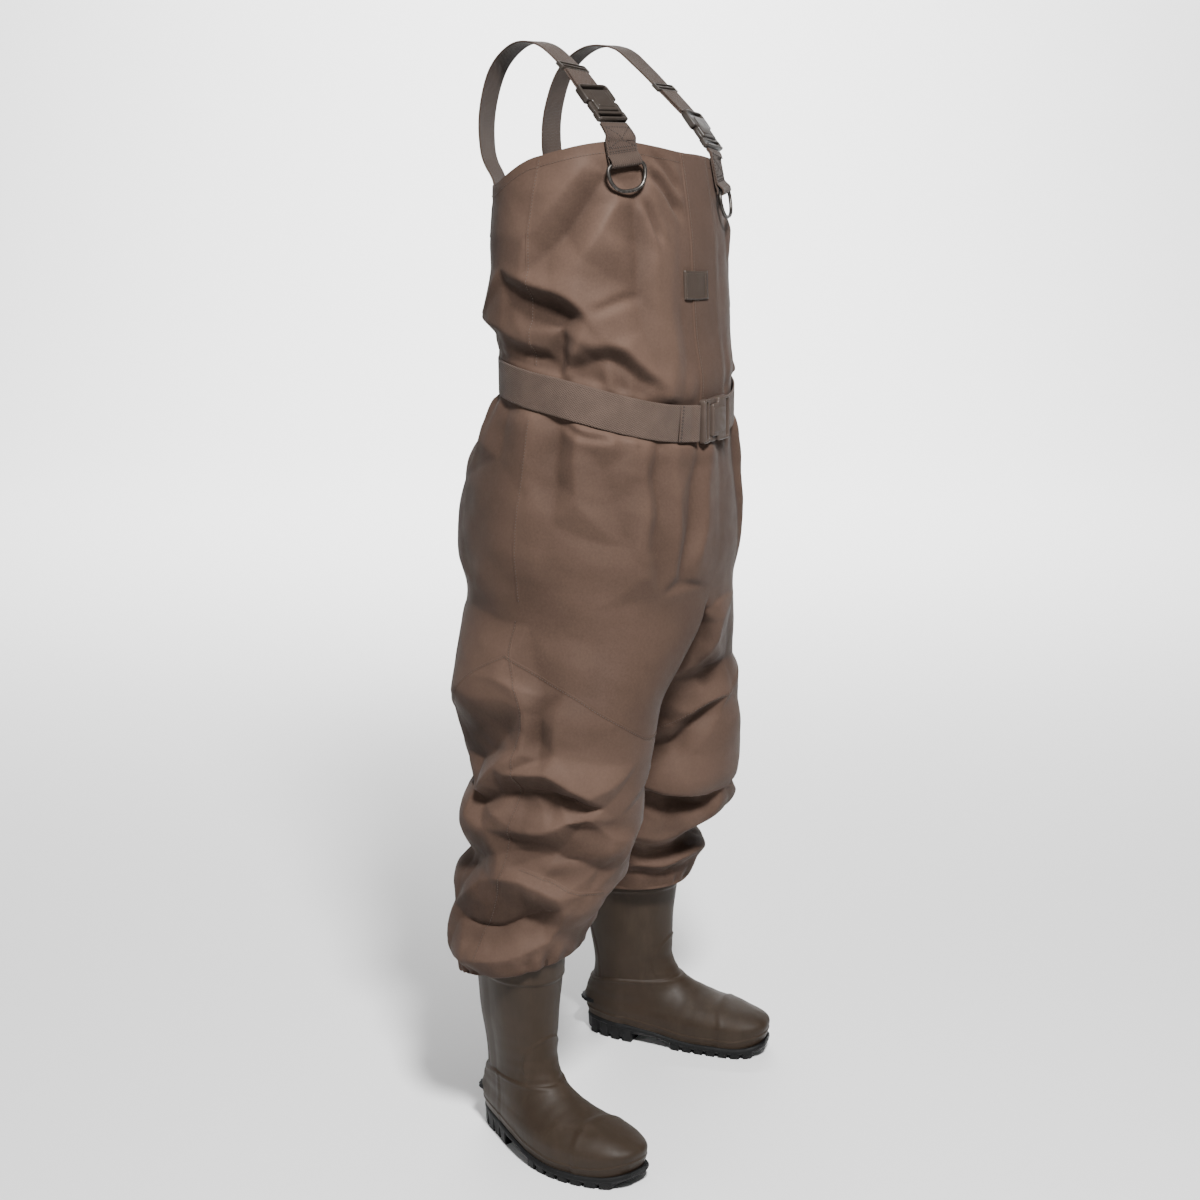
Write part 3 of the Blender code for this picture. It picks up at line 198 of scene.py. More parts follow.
def smoothColumn(rows, column, at):
    x = np.array([row[0] for row in rows], float)
    y = np.array([row[column] for row in rows], float)
    slope = np.gradient(y, x)
    steps = np.diff(y) / np.diff(x)
    slope[1:-1][steps[:-1] * steps[1:] <= 0] = 0
    at = np.clip(np.asarray(at, float), x[0], x[-1])
    i = np.clip(np.searchsorted(x, at, side="right") - 1, 0, len(x) - 2)
    width = x[i + 1] - x[i]
    t = (at - x[i]) / width
    value = (1 + 2 * t) * (1 - t) ** 2 * y[i] + t * (1 - t) ** 2 * width * slope[i]
    return value + t**2 * (3 - 2 * t) * y[i + 1] + t**2 * (t - 1) * width * slope[i + 1]


def ease(t):
    t = np.clip(t, 0, 1)
    return t * t * (3 - 2 * t)


def unit(vector):
    vector = np.asarray(vector, float)
    return vector / np.linalg.norm(vector, axis=-1, keepdims=True)


def oval(turn, square):
    s, c = np.sin(turn), np.cos(turn)
    return np.sign(s) * np.abs(s) ** (2 / square), np.sign(c) * np.abs(c) ** (2 / square)


def broadPush(folds, turn, z):
    total = np.zeros(np.broadcast(turn, z).shape)
    for foldZ, foldTurn, reach, rise, half, depth in folds:
        away = (turn - foldTurn + 180) % 360 - 180
        along = np.clip(away / reach, -1, 1)
        line = foldZ + rise * along
        total += depth * np.cos(along * pi / 2) ** 2 * np.exp(-(((z - line) / half) ** 2))
    return total


def bibEdge(turn):
    return smoothColumn(bibEdgeTable, 1, (np.degrees(turn) + 180) % 360 - 180)


def torsoPoint(turn, level):
    turn, level = np.broadcast_arrays(np.asarray(turn, float), np.asarray(level, float))
    half, front, back, square = (smoothColumn(torsoSections, k, level) for k in range(1, 5))
    s, c = oval(turn, square)
    push = broadPush(broadTorsoFolds, np.degrees(turn), level)
    near = np.cos(np.clip((level - beltLevel) / beltTilt["reach"], -1, 1) * pi / 2) ** 2
    z = level - (beltTilt["tilt"] * np.cos(turn) + beltTilt["dip"] * np.cos(turn) ** 2) * near
    aft = -np.where(c > 0, front, back) * c - push * np.cos(turn)
    return np.stack([half * s + push * np.sin(turn), aft, z], axis=-1)


def legTube(side, turn, z):
    rows = legSections[side][::-1]
    across, aft, half, front, back = (smoothColumn(rows, k, z) for k in range(1, 6))
    s, c = oval(turn, legSquare)
    push = broadPush(broadLegFolds[side], np.degrees(turn), z)
    push = push * ease((z - blouses[side]["back"]) / legBlend["hemFade"]) * ease((forkLevel - z) / legBlend["forkFade"])
    x = across + half * s + push * np.sin(turn)
    y = aft - np.where(c > 0, front, back) * c - push * np.cos(turn)
    return np.stack([side * x, y, z], axis=-1)


def forkRing(side, turn):
    turn = np.asarray(turn, float) % (2 * pi)
    outer = torsoPoint(np.where(turn <= pi, side * turn, 0.0), np.full(turn.shape, forkLevel))
    front, back = torsoPoint(np.array([0.0, pi]), np.array([forkLevel, forkLevel]))
    t = np.clip((turn - pi) / pi, 0, 1)
    aft = back[1] + (front[1] - back[1]) * (1 - np.cos(t * pi)) / 2
    edge = back[2] + (front[2] - back[2]) * t
    z = edge - (edge - crotch["z"]) * np.abs(np.sin(t * pi)) ** crotch["round"]
    seam = np.stack([np.zeros_like(t), aft, z], axis=-1)
    return np.where((turn <= pi)[..., None], outer, seam)


def hemHeight(side, turn):
    blouse = blouses[side]
    return blouse["back"] + (blouse["front"] - blouse["back"]) * (1 + np.cos(turn)) / 2


def legPoint(side, turn, z):
    turn, z = np.broadcast_arrays(np.asarray(turn, float), np.asarray(z, float))
    first = forkRing(side, turn)
    hem = hemHeight(side, turn)
    share = (first[..., 2] - z) / (first[..., 2] - hem)
    point = legTube(side, turn, z)
    blend = ease(share / legBlend["forkShare"])[..., None]
    point[..., :2] = (1 - blend) * first[..., :2] + blend * point[..., :2]
    return point


def footToWorld(side, u, w, z):
    across, aft, toeOut = stands[side]
    along = np.array([side * sin(toeOut), -cos(toeOut)])
    outwards = np.array([side * cos(toeOut), sin(toeOut)])
    start = np.array([side * across, aft])
    flat = start + np.multiply.outer(u, along) + np.multiply.outer(w, outwards)
    return np.concatenate([flat, np.asarray(z, float)[..., None]], axis=-1)


def footMiddle(u):
    ballStart, ballSpan, ballDepth = footBow["ball"]
    toeStart, toeSpan, toeDepth = footBow["toe"]
    ball = np.sin(pi * np.clip((u - ballStart) / ballSpan, 0, 1))
    toe = np.clip((u - toeStart) / toeSpan, 0, 1)
    return ballDepth * ball - toeDepth * toe**2


def bootFoot(turn, level, out=0.0):
    turn, level = np.broadcast_arrays(np.asarray(turn, float), np.asarray(level, float))
    back, front, heelHalf, ballHalf, square = (smoothColumn(lastSections, k, level) for k in range(1, 6))
    s, c = oval(turn, square)
    reach = (front - back) / 2
    u = (front + back) / 2 + (reach + out) * c
    place = np.clip((u - back) / (2 * reach), 0, 1)
    broad = heelHalf + (ballHalf - heelHalf) * ease(place / lastBlend["ballShare"])
    w = (broad + out) * s + footMiddle(u)
    lift = smoothColumn(soleLine, 1, u) - lastBase + lastBlend["soleClear"]
    return u, w, level + lift * (1 - ease((level - lastBase) / lastBlend["soleRise"]))


def bootPoint(side, turn, level, out=0.0):
    return footToWorld(side, *bootFoot(turn, level, out))


# Mesh helpers

def gridFaces(rows, columns, closed=True):
    r, c = np.meshgrid(np.arange(rows - 1), np.arange(columns if closed else columns - 1), indexing="ij")
    n = (c + 1) % columns
    quads = [r * columns + c, (r + 1) * columns + c, (r + 1) * columns + n, r * columns + n]
    return np.stack(quads, axis=-1).reshape(-1, 4)


def tubeFaces(rows, columns):
    # a closed tube with a cap at either end
    caps = [list(range(columns)), [(rows - 1) * columns + k for k in range(columns)][::-1]]
    return gridFaces(rows, columns).tolist() + caps


def edgesOf(faces):
    return np.concatenate([faces[:, [k, (k + 1) % 4]] for k in range(4)])


def treeOf(points, faces):
    return BVHTree.FromPolygons([Vector(p) for p in points.tolist()], faces.tolist())


def lengthAlong(points):
    return np.concatenate([[0], np.cumsum(np.linalg.norm(np.diff(points, axis=0), axis=1))])


def vertexNormals(points, faces):
    corner = points[faces]
    normal = np.cross(corner[:, 2] - corner[:, 0], corner[:, 3] - corner[:, 1])
    total = np.zeros_like(points)
    for k in range(4):
        np.add.at(total, faces[:, k], normal)
    return unit(total + 1e-12)


def relax(points, faces, weight, rounds):
    pairs = edgesOf(faces)
    pairs = np.concatenate([pairs, pairs[:, ::-1]])
    count = np.bincount(pairs[:, 0], minlength=len(points))[:, None]
    for _ in range(rounds):
        sums = [np.bincount(pairs[:, 0], points[pairs[:, 1], k], len(points)) for k in range(3)]
        total = np.stack(sums, axis=-1)
        points = points + (total / np.maximum(count, 1) - points) * weight[:, None]
    return points


def linked(name, data):
    made = bpy.data.objects.new(name, data)
    bpy.context.scene.collection.objects.link(made)
    return made


def plainMesh(helper):
    graph = bpy.context.evaluated_depsgraph_get()
    mesh = bpy.data.meshes.new_from_object(helper.evaluated_get(graph))
    bpy.data.objects.remove(helper)
    return mesh


def makePiece(name, points, faces, material, body="garment", uv=None):
    mesh = bpy.data.meshes.new(name)
    places = np.asarray(points, float).reshape(-1, 3) + frameShift
    mesh.from_pydata(places.tolist(), [], [list(map(int, face)) for face in faces])
    if uv is not None:
        layer = mesh.uv_layers.new(name="cloth")
        loops = np.empty(len(mesh.loops), np.int32)
        mesh.loops.foreach_get("vertex_index", loops)
        layer.data.foreach_set("uv", np.asarray(uv, np.float32)[loops].ravel())
    mesh.materials.append(material)
    mesh.shade_smooth()
    mesh.validate()
    mesh.update()
    piece = linked(name, mesh)
    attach(piece, body)
    return piece


def outwardAll(piece, merge=1e-6):
    bm = bmesh.new()
    bm.from_mesh(piece.data)
    bmesh.ops.remove_doubles(bm, verts=bm.verts, dist=merge)
    bmesh.ops.recalc_face_normals(bm, faces=bm.faces)
    bm.to_mesh(piece.data)
    bm.free()
    return piece


def setAttribute(piece, name, values):
    made = piece.data.attributes.new(name, "FLOAT", "POINT")
    made.data.foreach_set("value", np.asarray(values, np.float32))


def smoothPath(points, each):
    points = np.asarray(points, float)
    padded = np.concatenate([[2 * points[0] - points[1]], points, [2 * points[-1] - points[-2]]])
    path = []
    for p0, p1, p2, p3 in zip(padded, padded[1:], padded[2:], padded[3:]):
        for t in np.arange(each) / each:
            square = (2 * p0 - 5 * p1 + 4 * p2 - p3) * t**2
            path.append(p1 + ((p2 - p0) * t + square + (3 * p1 - 3 * p2 + p3 - p0) * t**3) / 2)
    return np.array([*path, points[-1]])


def evenPath(points, step):
    points = np.asarray(points, float)
    length = lengthAlong(points)
    at = np.linspace(0, length[-1], max(3, int(round(length[-1] / step)) + 1))
    return np.stack([np.interp(at, length, points[:, k]) for k in range(points.shape[1])], axis=-1)


# Materials

def newMaterial(name, colour, roughness, metallic=0.0, specular=0.5):
    made = bpy.data.materials.new(name)
    made.use_nodes = True
    tree = made.node_tree
    shader = tree.nodes["Principled BSDF"]
    shader.inputs["Base Color"].default_value = (*colour, 1)
    shader.inputs["Roughness"].default_value = roughness
    shader.inputs["Metallic"].default_value = metallic
    shader.inputs["Specular IOR Level"].default_value = specular
    return made, tree, shader, node(tree, "ShaderNodeTexCoord").outputs["Object"]


def feed(tree, shader, key, value):
    tree.links.new(value, shader.inputs[key])


def shaded(colour, factor):
    return tuple(c * factor for c in colour)


def node(tree, kind, inputs=None, **settings):
    made = tree.nodes.new(kind)
    for key, value in settings.items():
        setattr(made, key, value)
    for key, value in (inputs or {}).items():
        if isinstance(value, bpy.types.NodeSocket):
            tree.links.new(value, made.inputs[key])
        else:
            made.inputs[key].default_value = value
    return made


def noiseOf(tree, coords, scale, detail=3.0, rough=0.55, stretch=None):
    if stretch:
        coords = node(tree, "ShaderNodeMapping", {"Vector": coords, "Scale": stretch}).outputs[0]
    made = node(tree, "ShaderNodeTexNoise", {"Vector": coords, "Scale": scale, "Detail": detail, "Roughness": rough})
    return made.outputs["Fac"]


def spread(tree, value, fromLow, fromHigh, toLow, toHigh):
    keys = {"Value": value, "From Min": fromLow, "From Max": fromHigh, "To Min": toLow, "To Max": toHigh}
    return node(tree, "ShaderNodeMapRange", keys).outputs[0]


def mixColour(tree, factor, low, high):
    made = node(tree, "ShaderNodeMix", data_type="RGBA")
    for index, value in ((0, factor), (6, low), (7, high)):
        if isinstance(value, bpy.types.NodeSocket):
            tree.links.new(value, made.inputs[index])
        else:
            made.inputs[index].default_value = (*value, 1) if isinstance(value, tuple) else value
    return made.outputs[2]


def mathNode(tree, operation, a, b):
    return node(tree, "ShaderNodeMath", {0: a, 1: b}, operation=operation).outputs[0]


def bumpInto(tree, shader, heights):
    below = None
    for height, strength, distance in heights:
        keys = {"Height": height, "Strength": strength, "Distance": distance}
        if below:
            keys["Normal"] = below
        below = node(tree, "ShaderNodeBump", keys).outputs[0]
    tree.links.new(below, shader.inputs["Normal"])


def weaveHeight(tree, uvName, acrossPitch, alongPitch):
    uv = node(tree, "ShaderNodeUVMap", uv_map=uvName).outputs[0]
    parts = node(tree, "ShaderNodeSeparateXYZ", {0: uv})
    threads = []
    for output, pitch in ((0, acrossPitch), (1, alongPitch)):
        angle = mathNode(tree, "MULTIPLY", parts.outputs[output], 2 * pi / pitch)
        threads.append(mathNode(tree, "SINE", angle, 0.0))
    return mathNode(tree, "MULTIPLY", threads[0], threads[1])


# a noise is scale, detail and roughness; a tone is its lowest and highest share; a bump is strength and distance
noiseMid = (0.3, 0.7)  # where most of a noise lies
clothLook = {
    "dark": (0.028, 0.0165, 0.0117), "light": (0.080, 0.0498, 0.0368), "rough": (0.62, 0.78), "specular": 0.09,
    "sheen": 0.02, "sheenRough": 0.5, "paintedShadeTone": (0.0, 0.70), "blotch": (7.0, 4.0), "blotchTone": (-0.05, 0.25),
    "speck": (300.0, 4.0, 0.7), "speckTone": (-0.10, 0.10), "gloss": (26.0, 3.0), "crumple": (11.0, 5.0, 0.5),
    "crumpleBump": (0.22, 0.004), "grain": (420.0, 3.0, 0.6), "grainBump": (0.12, 0.0008), "weave": (0.0014, 0.0014),
    "weaveBump": (0.08, 0.0006),
}


def clothMaterial(name, shade=1.0):
    look = clothLook
    dark, light = shaded(look["dark"], shade), shaded(look["light"], shade)
    made, tree, shader, coords = newMaterial(name, light, 0.7, specular=look["specular"])
    # the attribute read here is painted shade in the fold hollows and under lips, and painted light on the ridges; the
    # two noises add random tone
    paintedFoldShade = node(tree, "ShaderNodeAttribute", attribute_name="paintedFoldShade").outputs["Fac"]
    tone = spread(tree, paintedFoldShade, -1.0, 1.0, *look["paintedShadeTone"])
    for key in ("blotch", "speck"):
        patches = spread(tree, noiseOf(tree, coords, *look[key]), *noiseMid, *look[key + "Tone"])
        tone = mathNode(tree, "ADD", tone, patches)
    feed(tree, shader, "Base Color", mixColour(tree, tone, dark, light))
    feed(tree, shader, "Roughness", spread(tree, noiseOf(tree, coords, *look["gloss"]), *noiseMid, *look["rough"]))
    shader.inputs["Sheen Weight"].default_value = look["sheen"]
    shader.inputs["Sheen Roughness"].default_value = look["sheenRough"]
    # thin coated cloth is never quite smooth: small sharp crumples and a fine grain
    keys = dict(zip(("Scale", "Detail", "Roughness"), look["crumple"]), Vector=coords)
    crumple = node(tree, "ShaderNodeTexNoise", keys, noise_type="RIDGED_MULTIFRACTAL").outputs["Fac"]
    grain = noiseOf(tree, coords, *look["grain"])
    weave = weaveHeight(tree, "cloth", *look["weave"])
    heights = [(crumple, *look["crumpleBump"]), (grain, *look["grainBump"]), (weave, *look["weaveBump"])]
    bumpInto(tree, shader, heights)
    return made


webLook = {
    "rough": 0.70, "specular": 0.12, "sheen": 0.05, "dark": 0.72, "light": 1.18, "weave": (0.0030, 0.0042),
    "weaveTone": (0.1, 0.6), "weaveBump": (0.55, 0.0010), "blotch": (40.0, 4.0), "blotchTone": (-0.1, 0.4),
    "grain": (500.0, 2.0), "grainBump": (0.12, 0.0005),
}


def webbingMaterial(name, colour):
    look = webLook
    made, tree, shader, coords = newMaterial(name, colour, look["rough"], specular=look["specular"])
    weave = weaveHeight(tree, "cloth", *look["weave"])
    blotch = spread(tree, noiseOf(tree, coords, *look["blotch"]), *noiseMid, *look["blotchTone"])
    tone = mathNode(tree, "ADD", spread(tree, weave, -1.0, 1.0, *look["weaveTone"]), blotch)
    dark, light = shaded(colour, look["dark"]), shaded(colour, look["light"])
    feed(tree, shader, "Base Color", mixColour(tree, tone, dark, light))
    shader.inputs["Sheen Weight"].default_value = look["sheen"]
    grain = noiseOf(tree, coords, *look["grain"])
    bumpInto(tree, shader, [(weave, *look["weaveBump"]), (grain, *look["grainBump"])])
    return made


rubberLook = {
    "specular": 0.22, "deep": 0.80, "mottle": (16.0, 5.0, 0.6), "mottleMid": (0.32, 0.68), "scuff": (30.0, 6.0, 0.65),
    "scuffStretch": (1.0, 1.0, 0.28), "scuffDust": (0.50, 0.78), "scuffRough": (0.35, 0.7), "soft": (55.0, 4.0),
    "softBump": (0.10, 0.002), "grain": (700.0, 3.0), "grainBump": (0.12, 0.0004),
}


def rubberMaterial(name, colour, dustColour, rough, dust):
    look = rubberLook
    made, tree, shader, coords = newMaterial(name, colour, 0.5, specular=look["specular"])
    mottle = spread(tree, noiseOf(tree, coords, *look["mottle"]), *look["mottleMid"], 0.0, 1.0)
    scuff = noiseOf(tree, coords, *look["scuff"], look["scuffStretch"])
    tone = spread(tree, scuff, *look["scuffDust"], 0.0, dust)
    base = mixColour(tree, mottle, shaded(colour, look["deep"]), colour)
    feed(tree, shader, "Base Color", mixColour(tree, tone, base, dustColour))
    feed(tree, shader, "Roughness", spread(tree, scuff, *look["scuffRough"], *rough))
    heights = [(noiseOf(tree, coords, *look[key]), *look[key + "Bump"]) for key in ("soft", "grain")]
    bumpInto(tree, shader, heights)
    return made


plasticLook = {
    "specular": 0.35, "light": 1.25, "mottle": (120.0, 4.0), "wear": (60.0, 5.0), "wearTone": (0.45, 0.8, 0.0, 0.8),
    "grain": (1400.0, 2.0), "grainBump": (0.10, 0.0003),
}


def plasticMaterial(name, colour, rough):
    look = plasticLook
    made, tree, shader, coords = newMaterial(name, colour, 0.38, specular=look["specular"])
    feed(tree, shader, "Roughness", spread(tree, noiseOf(tree, coords, *look["mottle"]), *noiseMid, *rough))
    wear = spread(tree, noiseOf(tree, coords, *look["wear"]), *look["wearTone"])
    feed(tree, shader, "Base Color", mixColour(tree, wear, colour, shaded(colour, look["light"])))
    bumpInto(tree, shader, [(noiseOf(tree, coords, *look["grain"]), *look["grainBump"])])
    return made


steelLook = {
    "base": (0.085, 0.072, 0.062), "dark": (0.045, 0.040, 0.036), "bright": (0.16, 0.15, 0.14), "metallic": 0.9,
    "wear": (220.0, 5.0, 0.6), "wearTone": (0.48, 0.75, 0.0, 0.7), "wearRough": (0.0, 0.7, 0.46, 0.30),
    "grain": (900.0, 3.0), "grainBump": (0.08, 0.0003),
}


def ringMaterial(name):
    look = steelLook
    made, tree, shader, coords = newMaterial(name, look["base"], 0.34, metallic=look["metallic"])
    wear = spread(tree, noiseOf(tree, coords, *look["wear"]), *look["wearTone"])
    feed(tree, shader, "Base Color", mixColour(tree, wear, look["dark"], look["bright"]))
    feed(tree, shader, "Roughness", spread(tree, wear, *look["wearRough"]))
    bumpInto(tree, shader, [(noiseOf(tree, coords, *look["grain"]), *look["grainBump"])])
    return made


# felt and thread: one noise between a darker and a lighter shade, which is the bump too
feltLook = {"rough": 0.9, "specular": 0.2, "noise": (420.0, 5.0, 0.7), "shades": (1.0, 1.5), "bump": (0.5, 0.001)}
threadLook = {"rough": 0.6, "specular": 0.35, "noise": (1800.0, 2.0), "shades": (0.7, 1.0), "bump": (0.3, 0.0003)}


def fibreMaterial(name, colour, look):
    made, tree, shader, coords = newMaterial(name, colour, look["rough"], specular=look["specular"])
    fibre = noiseOf(tree, coords, *look["noise"])
    low, high = (shaded(colour, factor) for factor in look["shades"])
    feed(tree, shader, "Base Color", mixColour(tree, fibre, low, high))
    bumpInto(tree, shader, [(fibre, *look["bump"])])
    return made


wovenCloth = clothMaterial("coatedCloth")
flapCloth = clothMaterial("flapCloth", 0.92)
liningCloth = clothMaterial("liningCloth", 0.55)
beltWeb = webbingMaterial("beltWebbing", (0.060, 0.0405, 0.0312))
strapWeb = webbingMaterial("strapWebbing", (0.036, 0.0238, 0.0180))
buckleDark = plasticMaterial("bucklePlastic", (0.020, 0.0155, 0.0125), (0.30, 0.46))
buckleBelt = plasticMaterial("beltBucklePlastic", (0.040, 0.0280, 0.0218), (0.42, 0.58))
ringSteel = ringMaterial("ringSteel")
bootRubber = rubberMaterial("bootRubber", (0.0255, 0.0160, 0.0095), (0.050, 0.0352, 0.0245), (0.52, 0.70), 0.5)
soleRubber = rubberMaterial("soleRubber", (0.0042, 0.0042, 0.0044), (0.013, 0.012, 0.011), (0.60, 0.78), 0.2)
patchRubber = rubberMaterial("patchRubber", (0.034, 0.024, 0.018), (0.05, 0.037, 0.028), (0.45, 0.6), 0.2)
insoleFelt = fibreMaterial("insoleFelt", (0.060, 0.058, 0.055), feltLook)
threadBrown = fibreMaterial("seamThread", (0.060, 0.042, 0.032), threadLook)
webThread = fibreMaterial("webbingThread", (0.018, 0.012, 0.009), threadLook)
print("materials made")


# Cloth shell: its grid, then its folds

shell = {
    "columns": 224, "rows": 150, "seamColumns": 56, "legRows": 168, "rollRows": 14, "cuffRows": 6, "dipRows": 8,
    "wall": 0.0017, "rollDip": 0.008, "cuffRise": 0.004, "cuffClear": 0.0036, "tuckRise": 0.003,
    "tuckDrop": 0.004, "tuckTop": 0.299,
}


def legRows(side, turns):
    top, hem = forkRing(side, turns)[:, 2], hemHeight(side, turns)
    heights = [top + (hem - top) * row / shell["legRows"] for row in range(1, shell["legRows"] + 1)]
    rows = [legPoint(side, turns, z) for z in heights]
    # the blouse rolls under and back up to the boot
    tuckLevel = np.clip(hem + shell["tuckRise"], blouses[side]["tuck"] - shell["tuckDrop"], shell["tuckTop"])
    tuck = bootPoint(side, turns, tuckLevel, shell["cuffClear"])
    last, before = rows[-1], rows[-shell["dipRows"]]
    drop = unit(last - before) * shell["rollDip"]
    low = tuck - [0, 0, shell["rollDip"]]
    for row in range(1, shell["rollRows"] + 1):
        t = row / shell["rollRows"]
        curve = (1 - t) ** 3 * last + 3 * (1 - t) ** 2 * t * (last + drop)
        rows.append(curve + 3 * (1 - t) * t**2 * low + t**3 * tuck)
    for row in range(1, shell["cuffRows"] + 1):
        rise = shell["cuffRise"] * row / shell["cuffRows"]
        rows.append(bootPoint(side, turns, tuckLevel + rise, shell["cuffClear"]))
    return rows


def shellGrid():
    columns, half = shell["columns"], shell["columns"] // 2
    turns = np.arange(columns) * 2 * pi / columns
    share = np.linspace(0, 1, shell["rows"])[:, None]
    level = forkLevel + (bibEdge(turns)[None] - forkLevel) * share
    turnGrid = np.broadcast_to(turns, level.shape)
    torso = torsoPoint(turnGrid, level).reshape(-1, 3)
    seamTurns = pi + np.arange(1, shell["seamColumns"]) * pi / shell["seamColumns"]
    seam = forkRing(left, seamTurns)
    # each part's points, region, turn, level and share of the roll
    parts = [
        (torso, 0, np.degrees(turnGrid).ravel(), level.ravel(), np.zeros(len(torso))),
        (seam, 0, np.zeros(len(seam)), np.full(len(seam), forkLevel), np.zeros(len(seam))),
    ]
    faces = [gridFaces(shell["rows"], columns)[:, ::-1]]
    seamIndex = len(torso) + np.arange(len(seam))
    count = len(torso) + len(seam)
    legTurns = np.concatenate([np.arange(half + 1) * pi / half, seamTurns])
    ring = len(legTurns)
    rolled = np.arange(1, shell["rollRows"] + 1) / shell["rollRows"]
    stage = np.concatenate([np.zeros(shell["legRows"]), rolled, np.ones(shell["cuffRows"])])
    for side, code in legCodes:
        first = np.concatenate([[side * i % columns for i in range(half + 1)], seamIndex]).astype(int)
        places = np.concatenate(legRows(side, legTurns))
        index = np.concatenate([first[None], count + np.arange(len(places)).reshape(-1, ring)])
        n = np.roll(index, -1, axis=1)
        quads = np.stack([index[:-1], index[1:], n[1:], n[:-1]], axis=-1).reshape(-1, 4)
        faces.append(quads if side == left else quads[:, ::-1])
        turnsOf = np.degrees(np.tile(legTurns, len(stage)))
        parts.append((places, code, turnsOf, places[:, 2], np.repeat(stage, ring)))
        count += len(places)
    points, turn, level, roll = (np.concatenate([part[k] for part in parts]) for k in (0, 2, 3, 4))
    region = np.concatenate([np.full(len(part[0]), part[1]) for part in parts])
    return points, np.concatenate(faces), region, (turn + 180) % 360 - 180, level, roll
